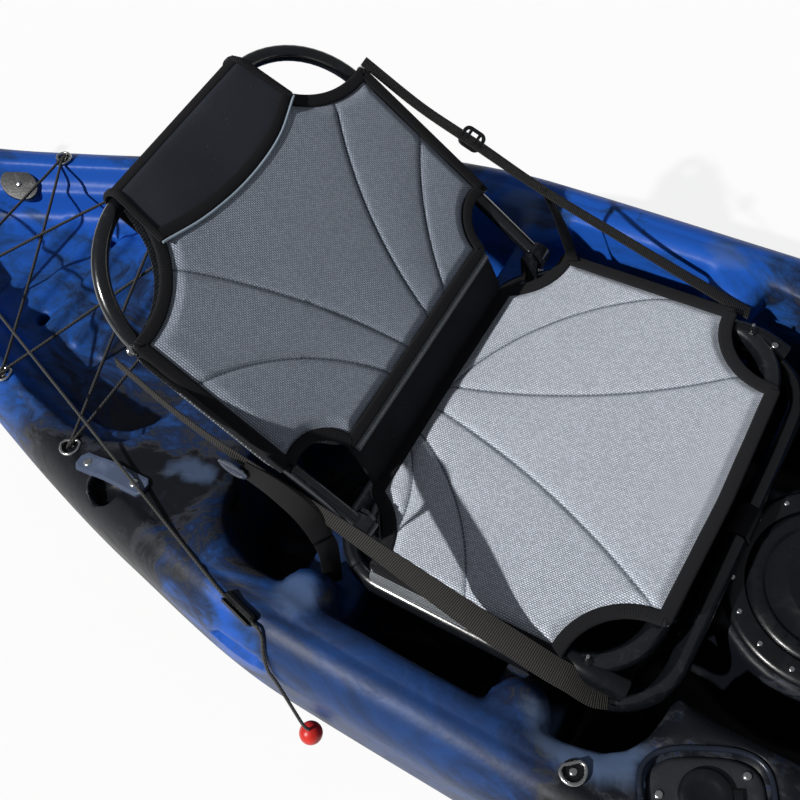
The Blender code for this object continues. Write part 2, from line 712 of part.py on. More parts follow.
# Rod holders
def rod_holder(name, side):
    mouth = rod_mouth(side)
    plate_z = mouth.z + GAP
    rings = []
    for z, inset in ((plate_z, 0.0), (plate_z + 0.004, 0.0), (plate_z + 0.006, 0.004)):
        ring = []
        for k in range(16):
            long, wide = squircle(math.tau * k / 16, 2.9)
            along = long * (0.056 - inset)
            over = wide * (0.037 - inset)
            x = along * math.cos(ROD_TURN) - over * math.sin(ROD_TURN)
            y = along * math.sin(ROD_TURN) + over * math.cos(ROD_TURN)
            ring.append(Vector((mouth.x + x, side * (ROD_SIDE - y), z)))
        rings.append(ring)
    made = loft(name, rings, GREY_PLASTIC)
    elbow = mouth - Vector((0, 0, 0.022))
    foot = elbow + Vector((0.072, 0, -0.140))
    lean = (foot - elbow).normalized()
    fuse(made, rod("collar", elbow, mouth + Vector((0, 0, 0.003)), ROD_TUBE, GREY_PLASTIC, 12))
    fuse(made, rod("sleeve", elbow - lean * 0.006, foot, ROD_TUBE, GREY_PLASTIC, 12))
    bore = rod("bore", elbow - Vector((0, 0, 0.002)), mouth + Vector((0, 0, 0.05)), ROD_BORE, GREY_PLASTIC, 12)
    fuse(bore, rod("bore", elbow - lean * 0.003, foot - lean * 0.004, ROD_BORE - 0.0004, GREY_PLASTIC, 12))
    return simplified(cut(made, bore))


def rod_cap(name, side):
    mouth = rod_mouth(side)
    top = mouth.z + 0.006 + 2 * GAP
    r = ROD_BORE - 0.0013
    outline = ((r - 0.003, -0.016), (r, -0.013), (r, 0.0), (0.0255, 0.0), (0.0265, 0.003), (0.023, 0.0065))
    return loft(name, round_rings(Vector((mouth.x, mouth.y, top)), outline, 16), BLACK_PLASTIC)


# Deck fittings
def deck_height(station, y):
    """Height of the finished hull straight under a place."""
    if "tree" not in SKIN:
        hull = bpy.data.objects["hull"]
        SKIN["tree"] = BVHTree.FromPolygons([v.co for v in hull.data.vertices],
                                            [p.vertices for p in hull.data.polygons])
    hit = SKIN["tree"].ray_cast(at(station, y, 1.0), Vector((0, 0, -1)))
    return hit[0].z


def pad_eye(name, hull, station, y, along=True):
    """A bent steel strap with a loop for cord, screwed to the deck."""
    span = Vector((1, 0, 0)) if along else Vector((0, 1, 0))
    flat = Vector((0, 1, 0)) if along else Vector((1, 0, 0))
    line = ((-0.021, 0.0), (-0.010, 0.0), (-0.0075, 0.009), (0.0, 0.0125), (0.0075, 0.009), (0.010, 0.0),
            (0.021, 0.0))
    thick = 0.0022
    rings = []
    for along_x, height in line:
        foot = at(station, y, 0) + span * along_x
        deck = max(deck_height(foot.x + MIDDLE, foot.y + w * 0.006 * flat.y) for w in (-1, 0, 1))
        outer = foot + Vector((0, 0, deck + height + thick))
        deep = 0.002 if abs(along_x) > 0.009 else 0.0
        inner = foot + span * (along_x * (0 if deep else -0.28)) + Vector((0, 0, deck + height - deep))
        rings.append([outer + flat * 0.006, outer - flat * 0.006, inner - flat * 0.006, inner + flat * 0.006])
    return simplified(seat_on_hull(loft(name, rings, STEEL), hull, Vector((0, 0, GAP))))


def side_handle(name, hull, side):
    """A strap handle, bolted at both ends, that bows up over the finger scoop."""
    station = SEAT_STATIONS["rear"] + HANDLE_MIDDLE
    half = HANDLE_SPAN / 2
    ends = [deck_height(station + x, HANDLE_SIDE) for x in (-half, half)]
    rings = []
    for x in (-half - 0.018, -half - 0.012, -half + 0.010, -half / 2, 0.0, half / 2, half - 0.010, half + 0.012,
              half + 0.018):
        deck = ends[0] + (ends[1] - ends[0]) * (x + half) / HANDLE_SPAN
        bow = 0.007 * max(0.0, 1 - (x / (half - 0.005)) ** 2)
        width = 0.013 if abs(x) < half + 0.015 else 0.007
        seated = abs(x) > half - 0.015
        low = -0.003 if seated else bow + 0.001
        top = deck + bow + 0.0045
        centre = at(station + x, side * HANDLE_SIDE, 0)
        rings.append([centre + Vector((0, y, z)) for y, z in (
            (-width, deck + low), (width, deck + low), (width, top - 0.001), (width * 0.7, top),
            (-width * 0.7, top), (-width, top - 0.001))])
    return simplified(seat_on_hull(loft(name, rings, BLACK_PLASTIC), hull, Vector((0, 0, GAP))))


def jam_cleat(hull):
    """A moulded cleat with a sloping V that the lift line jams in."""
    base = deck_height(CLEAT_STATION, CLEAT_SIDE)
    centre = at(CLEAT_STATION, CLEAT_SIDE, base)
    lean = Matrix.Rotation(-CLEAT_TURN, 3, "Z") @ Matrix.Rotation(CLEAT_LEAN, 3, "X")
    made = block("jam_cleat", (0.048, 0.015, 0.018), centre + Vector((0, 0, 0.005)), BLACK_PLASTIC, 0.003, lean)
    size = (0.06, 2 * LINE + 0.0014, 0.02)
    slot = block("slot", size, centre + lean @ Vector((0, 0, 0.014)), BLACK_PLASTIC, 0, lean)
    return simplified(seat_on_hull(cut(made, slot), hull, Vector((0, 0, GAP))))


def smooth_line(points, step):
    """Points along a smooth curve through a hand-set route."""
    route = [points[0]] + list(points) + [points[-1]]
    made = []
    for i in range(1, len(route) - 2):
        a, b, c, d = route[i - 1:i + 3]
        count = max(1, round((c - b).length / step))
        for k in range(count):
            t = k / count
            made.append(0.5 * (2 * b + (c - a) * t + (2 * a - 5 * b + 4 * c - d) * t * t
                               + (3 * b - a - 3 * c + d) * t**3))
    return made + [route[-2]]


def gunwale_point(station, turn, off):
    """A place off the starboard gunwale's rounding: turn is 0 at its widest line and a right angle on top."""
    y = half_beam(station) - SHOULDER_WIDTH * (1 - math.cos(turn) ** 0.87) + off * math.cos(turn)
    return at(station, -y, sheer(station) - SHOULDER_DROP * (1 - math.sin(turn) ** 0.87) + off * math.sin(turn))


def cleat_heading():
    return Vector((math.cos(CLEAT_TURN), -math.sin(CLEAT_TURN), 0))


def jam_point():
    """Middle of the lift line in the cleat's V."""
    return at(CLEAT_STATION, CLEAT_SIDE, deck_height(CLEAT_STATION, CLEAT_SIDE)) + Vector((0, -0.0017, 0.0067))


def lift_line_route():
    """From the rudder head over the stern fairlead, over the tankwell, past the handle to the cleat."""
    heading = cleat_heading()
    jam = jam_point()
    bolt = SEAT_STATIONS["rear"] + HANDLE_MIDDLE + HANDLE_SPAN / 2
    fair = deck_height(FAIRLEAD_STATION, 0) + 0.0065
    return [
        at(RUDDER_PIN_X, 0, HEAD_TOP + 2 * GAP),
        at(RUDDER_PIN_X, 0, HEAD_TOP + 0.007),
        at(RUDDER_PIN_X + 0.014, 0, HEAD_TOP + 0.013),
        at(0.050, 0, deck_height(0.05, 0) + 0.010),
        at(FAIRLEAD_STATION, 0, fair),
        at(bolt, -HANDLE_SIDE, deck_height(bolt, HANDLE_SIDE) + 0.0115),
        jam - heading * 0.034 + Vector((0, 0, 0.0005)),
        jam,
        jam + heading * CLEAT_EXIT,
    ]


def tail_route():
    """The free end: out of the cleat, over the gunwale's rounding and down the hull's side to its ball."""
    heading = cleat_heading()
    start = jam_point() + heading * (CLEAT_EXIT + GAP)
    over = [gunwale_point(CLEAT_STATION + ahead, math.radians(turn), LINE + 0.0012)
            for ahead, turn in ((0.039, 58), (0.045, 42), (0.052, 22), (0.061, 4))]
    end = BALL_PLACE + Vector((0, 0, BALL + GAP))
    last = [end + Vector((-0.004, 0.0, 0.020)), end + Vector((0, 0, 0.004)), end]
    return [start, start + heading * 0.006] + over + last


def red_ball():
    outline = [(BALL * math.sin(math.pi * k / 8), BALL * math.cos(math.pi * k / 8)) for k in range(1, 8)]
    return loft("red_ball", round_rings(BALL_PLACE, [(0.0034, BALL)] + outline, 12), RED)


def eye_place(k, side):
    station = SEAT_STATIONS["rear"] + EYES[k]
    return station, side * (half_beam(station) - SHOULDER_WIDTH + 0.006)


def bungee_web():
    """One elastic cord in a closed loop through the six eyes, crossing over the tankwell."""
    order = ((2, -1), (1, 1), (0, -1), (0, 1), (1, -1), (2, 1))
    pass_over = {((2, -1), (1, 1)): 0.0035, ((1, 1), (0, -1)): 0.0035, ((0, 1), (1, -1)): -0.0035,
                 ((1, -1), (2, 1)): -0.0035}
    points = []
    for here, there in zip(order, order[1:] + order[:1]):
        sa, ya = eye_place(*here)
        sb, yb = eye_place(*there)
        a = at(sa, ya, deck_height(sa, ya) + 0.0055)
        b = at(sb, yb, deck_height(sb, yb) + 0.0055)
        arch = pass_over.get((here, there), 0.0)
        heading = (b - a).normalized()
        lead = 0.012
        points.append(a + heading * lead + Vector((0, 0, 0.0005)))
        for k in range(1, 4):
            t = k / 4
            points.append(a.lerp(b, t) + Vector((0, 0, arch * min(1.0, 4 * t * (1 - t)))))
        points.append(b - heading * lead + Vector((0, 0, 0.0005)))
        outward = Vector((0, math.copysign(0.006, yb), 0))
        points.append(b + outward)
    return tube("bungee_web", points, 0.0022, CORD_BLACK, cyclic=True, resolution=1)


def carry_handle(prefix, hull, station):
    """A rubber-gripped bail on a screwed saddle: it lies forward on the deck and swings up."""
    deck = deck_height(station, 0)
    centre = at(station, 0, deck)
    pin_z = deck + BOW_HANDLE_PIN
    size = (0.036, 0.060, 0.008)
    saddle = block(prefix + "_handle_saddle", size, centre + Vector((0, 0, 0.0002)), BLACK_PLASTIC)
    for side in (-1, 1):
        ear = block("ear", (0.020, 0.007, 0.026), at(station, side * 0.020, pin_z - 0.004), BLACK_PLASTIC)
        fuse(saddle, ear)
    pin = rod("pin", at(station, -0.036, pin_z), at(station, 0.036, pin_z), 0.004, BLACK_PLASTIC, 10)
    fuse(saddle, pin)
    simplified(seat_on_hull(saddle, hull, Vector((0, 0, GAP))))
    arm_y, reach = 0.0300, 0.085
    tip = pin_z + 0.004
    half = [(0.006, arm_y, pin_z + 0.001), (0.03, arm_y + 0.004, tip), (reach - 0.022, 0.050, tip + 0.002),
            (reach - 0.006, 0.046, tip + 0.002), (reach, 0.034, tip + 0.002)]
    loop = [at(station + x, -y, z) for x, y, z in half] + [at(station + x, y, z) for x, y, z in half[::-1]]
    bail = as_mesh(tube(prefix + "_handle", loop, 0.0045, BLACK_PLASTIC))
    held = at(station + reach, 0, tip + 0.002)
    across = Vector((0, 0.030, 0))
    fuse(bail, rod("grip", held - across, held + across, 0.0095, BLACK_PLASTIC, 12))
    for side in (-1, 1):
        near, far = at(station, side * 0.0240, pin_z), at(station, side * 0.0352, pin_z)
        fuse(bail, rod("eye", near, far, 0.0085, BLACK_PLASTIC, 12))
    cut(bail, rod("hole", at(station, -0.06, pin_z), at(station, 0.06, pin_z), 0.0045, BLACK_PLASTIC, 10))
    return simplified(bail)


# Foot braces
def rail_line(which, side):
    """Middle of a rail on its well's wall, and its heading."""
    middle, length = RAIL_PLACES[which]
    reach = length / 2 - 0.02

    def wall(station):
        return leg_well_half(which, station) - 0.013

    heading = Vector((2 * reach, wall(middle + reach) - wall(middle - reach), 0)).normalized()
    y = min(wall(middle), (wall(middle - reach) + wall(middle + reach)) / 2) - 0.010
    heading.y *= side
    return at(middle, side * y, RAIL_Z), heading


def foot_rail(which, side, hull):
    centre, heading = rail_line(which, side)
    length = RAIL_PLACES[which][1]
    turn = Matrix.Rotation(math.atan2(heading.y, heading.x), 3, "Z")
    name = f"{which}_foot_rail_{'port' if side > 0 else 'starboard'}"
    rail = block(name, (length, 0.012, 0.026), centre, BLACK_PLASTIC, 0, turn)
    outward = Vector((-heading.y, heading.x, 0)) * side
    for end in (-1, 1):
        foot = centre + heading * end * (length / 2 - 0.02)
        fuse(rail, rod("foot", foot + outward * 0.004, foot + outward * 0.022, 0.010, BLACK_PLASTIC, 8))
    return simplified(seat_on_hull(rail, hull, -outward * GAP))


def foot_pedal(which, side):
    centre, heading = rail_line(which, side)
    centre = centre + heading * PEDAL_OFFSET[which]
    turn = Matrix.Rotation(math.atan2(heading.y, heading.x), 3, "Z")
    outward = Vector((-heading.y, heading.x, 0)) * side
    name = f"{which}_foot_pedal_{'port' if side > 0 else 'starboard'}"
    carriage = block(name, (0.070, 0.018, 0.042), centre - outward * 0.004, BLACK_PLASTIC, 0, turn)
    channel = block("channel", (0.2, 0.0128, 0.0268), centre, BLACK_PLASTIC, 0, turn)
    behind = block("channel", (0.2, 0.0128, 0.0268), centre + outward * 0.006, BLACK_PLASTIC, 0, turn)
    cut(carriage, fuse(channel, behind))
    lean = turn @ Matrix.Rotation(math.radians(-18), 3, "Y")
    place = centre - outward * 0.050 + heading * 0.016 + Vector((0, 0, 0.012))
    pad = block("pad", (0.012, 0.080, 0.120), place, BLACK_PLASTIC, 0.004, lean)
    return simplified(fuse(carriage, pad))


# Rudder
def rudder():
    gudgeon_z = (0.158, 0.232)
    bracket = block("rudder_bracket", (0.006, 0.050, 0.120), at(-0.003 - GAP, 0, BLADE_Z), STEEL, 0.0015)
    for z in gudgeon_z:
        fuse(bracket, block("lug", (0.044, 0.026, 0.008), at(-0.025, 0, z), STEEL))
        low, high = at(RUDDER_PIN_X, 0, z - 0.02), at(RUDDER_PIN_X, 0, z + 0.02)
        cut(bracket, rod("hole", low, high, 0.0056, STEEL, 12))
    simplified(bracket)
    low, high = gudgeon_z[0] + 0.0044, gudgeon_z[1] - 0.0044
    head = rod("rudder_head", at(RUDDER_PIN_X, 0, low), at(RUDDER_PIN_X, 0, high), 0.011, BLACK_PLASTIC, 12)
    fuse(head, rod("pin", at(RUDDER_PIN_X, 0, 0.146), at(RUDDER_PIN_X, 0, HEAD_TOP), 0.005, BLACK_PLASTIC, 12))
    yoke = at(RUDDER_PIN_X, 0, HEAD_TOP - 0.010)
    fuse(head, block("yoke", (0.022, 0.130, 0.006), yoke, BLACK_PLASTIC, 0.002))
    for side in (-1, 1):
        cheek = block("cheek", (0.066, 0.005, 0.052), at(-0.070, side * 0.0115, BLADE_Z), BLACK_PLASTIC)
        fuse(head, cheek)
        end = at(RUDDER_PIN_X, side * 0.058, HEAD_TOP)
        cut(head, rod("hole", end - Vector((0, 0, 0.03)), end + Vector((0, 0, 0.01)), 0.003, BLACK_PLASTIC, 10))
    fuse(head, block("bridge", (0.014, 0.026, 0.048), at(-0.044, 0, BLADE_Z), BLACK_PLASTIC))
    pivot = at(BLADE_PIN_X, 0, BLADE_Z)
    across = Vector((0, 0.0155, 0))
    fuse(head, rod("pivot", pivot - across, pivot + across, 0.004, BLACK_PLASTIC, 10))
    simplified(head)
    rings = []
    for x, top, bottom, thick in (
        (0.020, 0.012, -0.012, 0.005), (-0.060, 0.014, -0.014, 0.005), (-0.085, 0.052, -0.046, 0.0045),
        (-0.200, 0.056, -0.054, 0.004), (-0.300, 0.050, -0.052, 0.0035), (-0.352, 0.036, -0.046, 0.003),
        (BLADE_TIP, 0.006, -0.030, 0.002),
    ):
        mid = (top + bottom) / 2
        ring = [(top, 0.0008), (mid + 0.4 * (top - mid), thick), (mid + 0.4 * (bottom - mid), thick),
                (bottom, 0.0008)]
        ring += [(z, -y) for z, y in ring[::-1]]
        rings.append([pivot + Vector((x, y, z)) for z, y in ring])
    blade = loft("rudder_blade", rings, BLACK_PLASTIC)
    across = Vector((0, 0.0085, 0))
    fuse(blade, rod("hub", pivot - across, pivot + across, 0.020, BLACK_PLASTIC, 16))
    cut(blade, rod("hole", pivot - 4 * across, pivot + 4 * across, 0.0046, BLACK_PLASTIC, 10))
    simplified(blade)


# Seats
def rounded_loop(x0, x1, half, radius, height, steps=4):
    """Centre line of a tube bent to a rounded rectangle, in the seat's own frame."""
    points = []
    for cx, cy, start in ((x1 - radius, half - radius, 0), (x0 + radius, half - radius, 1),
                          (x0 + radius, -half + radius, 2), (x1 - radius, -half + radius, 3)):
        for k in range(steps + 1):
            a = math.pi / 2 * (start + k / steps)
            points.append(Vector((cx + radius * math.cos(a), cy + radius * math.sin(a), height)))
    return points


def seat_place(which, point):
    return at(SEAT_STATIONS[which] + point.x, point.y, SEAT_Z + point.z)


def tilted(point):
    """The pan rises a little towards the knees."""
    return Vector((point.x, point.y, point.z + point.x * math.tan(PAN_TILT)))


def back_point(along, y, proud):
    """A place on the backrest: along it from the hinge, across it, and proud of its tubes' middle plane."""
    up = Vector((-math.sin(BACK_LEAN), 0, math.cos(BACK_LEAN)))
    front = Vector((math.cos(BACK_LEAN), 0, math.sin(BACK_LEAN)))
    return Vector((HINGE_X, y, HINGE_Z)) + up * along + front * proud


def seat_frames(which):
    base_line = rounded_loop(-0.045, 0.355, 0.240, 0.070, BASE_TUBE_Z)
    base_line = [seat_place(which, p) for p in base_line]
    base = as_mesh(tube(which + "_base_frame", base_line, TUBE, TUBE_BLACK, True))
    pan_line = [tilted(p) for p in rounded_loop(-0.010, 0.322, 0.233, 0.080, PAN_TUBE_Z)]
    pan = as_mesh(tube(which + "_pan_frame", [seat_place(which, p) for p in pan_line], TUBE, TUBE_BLACK, True))
    for x in (0.075, 0.250):
        for side in (-1, 1):
            low = Vector((x, side * 0.237, BASE_TUBE_Z + 0.004))
            high = tilted(Vector((x, side * 0.237, PAN_TUBE_Z - TUBE - 0.0006)))
            fuse(base, rod("post", seat_place(which, low), seat_place(which, high), 0.0075, TUBE_BLACK, 8))
    simplified(base)
    for side in (-1, 1):
        ear = Vector((HINGE_X - 0.004, side * 0.199, 0.010))
        fuse(pan, block("ear", (0.022, 0.0045, 0.058), seat_place(which, ear), TUBE_BLACK))
        inner = Vector((HINGE_X, side * 0.198, HINGE_Z))
        outer = Vector((HINGE_X, side * 0.2232, HINGE_Z))
        fuse(pan, rod("pin", seat_place(which, inner), seat_place(which, outer), 0.004, TUBE_BLACK, 10))
    simplified(pan)
    legs = []
    start = 0.010
    straight = BACK_LENGTH - BACK_CORNER
    legs.append((start, BACK_HALF))
    legs.append((straight * 0.5, BACK_HALF))
    for k in range(6):
        a = math.pi / 2 * k / 5
        legs.append((straight + BACK_CORNER * math.sin(a), BACK_HALF - BACK_CORNER + BACK_CORNER * math.cos(a)))
    path = legs + [(u, -y) for u, y in legs[::-1]]
    back_line = [seat_place(which, back_point(u, y, 0.0)) for u, y in path]
    back = as_mesh(tube(which + "_back_frame", back_line, BACK_TUBE, TUBE_BLACK, resolution=2))
    for side in (-1, 1):
        near = seat_place(which, back_point(0.0, side * 0.2035, 0.0))
        far = seat_place(which, back_point(0.0, side * 0.2200, 0.0))
        fuse(back, rod("eye", near, far, 0.015, TUBE_BLACK, 14))
        hole = Vector((0, 0.03, 0))
        cut(back, rod("hole", near - hole, near + hole, 0.0046, TUBE_BLACK, 10))
    simplified(back)


def arc(start, through, end, steps):
    """Points on the circle through three points of a plane, without the last one."""
    ax, ay = start
    bx, by = through
    cx, cy = end
    d = 2 * (ax * (by - cy) + bx * (cy - ay) + cx * (ay - by))
    ux = ((ax**2 + ay**2) * (by - cy) + (bx**2 + by**2) * (cy - ay) + (cx**2 + cy**2) * (ay - by)) / d
    uy = ((ax**2 + ay**2) * (cx - bx) + (bx**2 + by**2) * (ax - cx) + (cx**2 + cy**2) * (bx - ax)) / d
    r = math.hypot(ax - ux, ay - uy)
    first = math.atan2(ay - uy, ax - ux)
    middle = math.atan2(by - uy, bx - ux)
    last = math.atan2(cy - uy, cx - ux)
    to_last = (last - first) % math.tau
    if (middle - first) % math.tau > to_last:
        to_last -= math.tau
    return [(ux + r * math.cos(first + to_last * k / steps), uy + r * math.sin(first + to_last * k / steps))
            for k in range(steps)]


def line(start, end, steps):
    return [(start[0] + (end[0] - start[0]) * k / steps, start[1] + (end[1] - start[1]) * k / steps)
            for k in range(steps)]


def closed_outline(edges):
    """A panel's outline from its port half, mirrored to starboard."""
    port = [p for edge in edges for p in edge]
    return port + [(x, -y) for x, y in port[::-1] if abs(y) > 1e-6]


def pan_outline():
    return closed_outline([
        line((0.338, 0.0), PAN_FRONT, 3), arc(PAN_FRONT, PAN_FRONT_SCOOP, PAN_FRONT_SIDE, 6),
        line(PAN_FRONT_SIDE, PAN_BACK_SIDE, 3), arc(PAN_BACK_SIDE, PAN_BACK_SCOOP, PAN_BACK, 4),
        line(PAN_BACK, (-0.028, 0.0), 2), [(-0.028, 0.0)],
    ])


def back_outline():
    return closed_outline([
        line((0.064, 0.0), BACK_LOW, 2), arc(BACK_LOW, BACK_LOW_SCOOP, BACK_LOW_SIDE, 4),
        line(BACK_LOW_SIDE, BACK_HIGH_SIDE, 3), arc(BACK_HIGH_SIDE, BACK_HIGH_SCOOP, BACK_TOP, 6),
        line(BACK_TOP, (0.4265, 0.0), 2), [(0.4265, 0.0)],
    ])


def padded_panel(name, outline, place, centre, finish, low, high, crown):
    """A sewn pad: a rounded edge, and a face that swells a little to its middle."""
    rings = []
    for share, height in ((0.985, low), (1.0, low + 0.3 * (high - low)), (0.985, high - 0.001), (0.93, high),
                          (0.55, high + crown)):
        rings.append([place(centre + (x - centre) * share, y * share, height) for x, y in outline])
    return loft(name, rings, finish)


def seat_covers(which):
    pan = padded_panel(
        which + "_pan_cover", pan_outline(),
        lambda x, y, h: seat_place(which, tilted(Vector((x, y, h)))), 0.15, MESH_GREY, -0.0012, 0.0090, 0.002)
    flap_low = tilted(Vector((-0.024, 0, 0.002)))
    flap_high = back_point(0.060, 0.0, 0.004)
    rings = []
    for half, spread in ((0.150, 0), (0.150, 1)):
        side = half if spread else -half
        rings.append([
            seat_place(which, flap_low + Vector((0, side, 0))),
            seat_place(which, flap_low + Vector((-0.004, side, 0.0))),
            seat_place(which, flap_high + Vector((-0.003, side, 0))),
            seat_place(which, flap_high + Vector((0.001, side, 0))),
        ])
    fuse(pan, loft("flap", rings, MESH_GREY))
    padded_panel(
        which + "_back_cover", back_outline(),
        lambda x, y, h: seat_place(which, back_point(x, y, h)), 0.24, MESH_GREY, BACK_TUBE + GAP, 0.0205, 0.0)
    pad = []
    for u, proud in ((0.356, -0.0145), (0.4285, -0.0145), (0.4320, -0.0090), (0.4320, 0.0100), (0.4290, 0.0205),
                     (0.4283, -0.0110), (0.356, -0.0110)):
        pad.append((u, proud))
    rings = []
    for k in range(9):
        y = -0.104 + 0.208 * k / 8
        rings.append([seat_place(which, back_point(u, y, proud)) for u, proud in pad])
    loft(which + "_head_pad", rings, NEOPRENE)


def ribbon(name, points, finish, width=STRAP_WIDTH, thick=STRAP_THICK):
    """Flat webbing that lies across the boat's width along a line of points."""
    rings = []
    for i, point in enumerate(points):
        before = points[max(i - 1, 0)]
        after = points[min(i + 1, len(points) - 1)]
        along = (after - before).normalized()
        normal = Vector((-along.z, 0, along.x)).normalized() * (thick / 2)
        side = Vector((0, width / 2, 0))
        rings.append([point + normal + side, point + normal - side,
                      point - normal - side, point - normal + side])
    return loft(name, rings, finish)


def strap_route(which, side):
    return [seat_place(which, Vector(point)) for point in STRAP_ROUTES[side]]


def seat_straps(which):
    for side in (-1, 1):
        word = "port" if side > 0 else "starboard"
        route = strap_route(which, side)
        ribbon(f"{which}_strap_{word}", route, WEBBING)
        k = BUCKLE_POINT
        along = (route[k + 1] - route[k - 1]).normalized()
        turn = Matrix.Rotation(math.atan2(-along.z, along.x), 3, "Y")
        lift = Vector((-along.z, 0, along.x)) * (0.0035 + STRAP_THICK / 2 + GAP) + Vector((0, side * 0.0015, 0))
        buckle = block(f"{which}_buckle_{word}", (0.034, 0.031, 0.006), route[k] + lift, BLACK_PLASTIC, 0, turn)
        for shift in (-0.009, 0.009):
            place = route[k] + lift + along * shift
            window = block("window", (0.006, 0.0255, 0.03), place, BLACK_PLASTIC, 0, turn)
            cut(buckle, window)
        simplified(buckle)


def set_origin(name, point):
    """Puts a moving piece's origin on its joint's axis."""
    made = bpy.data.objects[name]
    made.data.transform(Matrix.Translation(-point))
    made.location = point


def joint_origins():
    for which in SEAT_STATIONS:
        hinge = seat_place(which, Vector((HINGE_X, 0, HINGE_Z)))
        for piece in ("back_frame", "back_cover", "head_pad"):
            set_origin(f"{which}_{piece}", hinge)
    set_origin("middle_hatch_lid", at(SEAT_STATIONS["rear"] + HATCH_AHEAD, 0, RIDGE_TOP))
    set_origin("bow_hatch_lid", at(BOW_HATCH_STATION, 0, bow_hatch_floor()))
    set_origin("bow_handle", at(BOW_HANDLE_STATION, 0, deck_height(BOW_HANDLE_STATION, 0) + BOW_HANDLE_PIN))
    set_origin("rudder_head", at(RUDDER_PIN_X, 0, BLADE_Z))
    set_origin("rudder_blade", at(BLADE_PIN_X, 0, BLADE_Z))
    for side, word in ((-1, "starboard"), (1, "port")):
        set_origin("rod_cap_" + word, rod_mouth(side))
        for which in RAIL_PLACES:
            centre, _ = rail_line(which, side)
            set_origin(f"{which}_foot_pedal_{word}", centre)


def build():
    for old in list(bpy.data.objects):
        bpy.data.objects.remove(old, do_unlink=True)
    hull = make_hull()
    hatch("middle", at(SEAT_STATIONS["rear"] + HATCH_AHEAD, 0, RIDGE_TOP), 1.0, BLACK_PLASTIC)
    hatch("bow", at(BOW_HATCH_STATION, 0, bow_hatch_floor()), BOW_HATCH_SCALE, BLACK_PLASTIC)
    for side, word in ((-1, "starboard"), (1, "port")):
        rod_holder("rod_holder_" + word, side)
        rod_cap("rod_cap_" + word, side)
        side_handle("side_handle_" + word, hull, side)
        for k in range(3):
            pad_eye(f"cord_eye_{word}_{k + 1}", hull, *eye_place(k, side))
        station = SEAT_STATIONS["rear"] + GEAR_EYE_AHEAD
        pad_eye("gear_eye_" + word, hull, station, side * GEAR_EYE_SIDE)
        for which in RAIL_PLACES:
            foot_rail(which, side, hull)
            foot_pedal(which, side)
    pad_eye("stern_fairlead", hull, FAIRLEAD_STATION, 0.0, along=False)
    bungee_web()
    jam_cleat(hull)
    tube("lift_line", smooth_line(lift_line_route(), 0.06), LINE, CORD_BLACK, resolution=1)
    tube("tail_cord", smooth_line(tail_route(), 0.012), LINE, CORD_BLACK, resolution=2)
    red_ball()
    carry_handle("bow", hull, BOW_HANDLE_STATION)
    rudder()
    for which in SEAT_STATIONS:
        seat_frames(which)
        seat_covers(which)
        seat_straps(which)
    joint_origins()


build()
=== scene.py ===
# %% [markdown]
# A two-seat sit-on-top kayak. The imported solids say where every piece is. This script gives them
# their looks: a marbled moulded hull, sewn mesh seats on gloss tube, webbing, cord and small steel.

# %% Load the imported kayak
import json
import math

import bmesh
import bpy
import numpy as np
from mathutils import Matrix, Vector


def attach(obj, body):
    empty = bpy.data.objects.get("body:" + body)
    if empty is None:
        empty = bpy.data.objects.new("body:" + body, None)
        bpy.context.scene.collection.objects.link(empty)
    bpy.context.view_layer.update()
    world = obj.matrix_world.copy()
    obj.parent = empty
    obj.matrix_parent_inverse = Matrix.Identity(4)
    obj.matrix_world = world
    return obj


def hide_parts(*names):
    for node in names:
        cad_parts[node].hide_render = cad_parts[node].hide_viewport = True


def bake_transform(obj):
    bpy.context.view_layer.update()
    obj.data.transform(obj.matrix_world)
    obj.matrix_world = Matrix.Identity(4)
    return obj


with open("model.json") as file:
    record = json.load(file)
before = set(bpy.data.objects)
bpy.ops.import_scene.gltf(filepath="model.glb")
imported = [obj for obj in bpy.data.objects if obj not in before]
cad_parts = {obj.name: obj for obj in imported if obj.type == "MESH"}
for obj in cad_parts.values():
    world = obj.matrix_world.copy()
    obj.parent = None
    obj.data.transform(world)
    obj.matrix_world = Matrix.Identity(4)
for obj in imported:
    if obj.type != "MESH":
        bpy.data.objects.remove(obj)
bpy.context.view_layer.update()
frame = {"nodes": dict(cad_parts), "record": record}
NODES = frame["nodes"]
print("pieces in the frame:", len(NODES))

# %% [markdown]
# Metres, +X to the bow, +Y to port. The picture looks down over the starboard side at the rear seat.
# Its camera was worked out from the seat's own tubes, so the render can lie exactly over it.

# %% Camera and sun
CAMERA_PLACE = Vector((-0.22309, -0.54515, 1.37395))
YAW, PITCH, ROLL = 2.3103142, 0.9945770, -0.2434508
FOCAL_PIXELS, FRAME_PIXELS, SENSOR = 1036.287, 800, 36.0

scene = bpy.context.scene
scene.view_settings.view_transform = "Standard"
ahead = Vector((math.cos(PITCH) * math.cos(YAW), math.cos(PITCH) * math.sin(YAW), -math.sin(PITCH)))
level = Vector((math.sin(YAW), -math.cos(YAW), 0))
over = level.cross(ahead)
right = math.cos(ROLL) * level + math.sin(ROLL) * over
up = -math.sin(ROLL) * level + math.cos(ROLL) * over
lens = bpy.data.cameras.new("camera")
lens.sensor_width = SENSOR
lens.lens = SENSOR * FOCAL_PIXELS / FRAME_PIXELS
lens.clip_start = 0.01
camera = bpy.data.objects.new("camera", lens)
camera.matrix_world = Matrix((right, up, -ahead)).transposed().to_4x4()
camera.location = CAMERA_PLACE
scene.collection.objects.link(camera)
scene.camera = camera

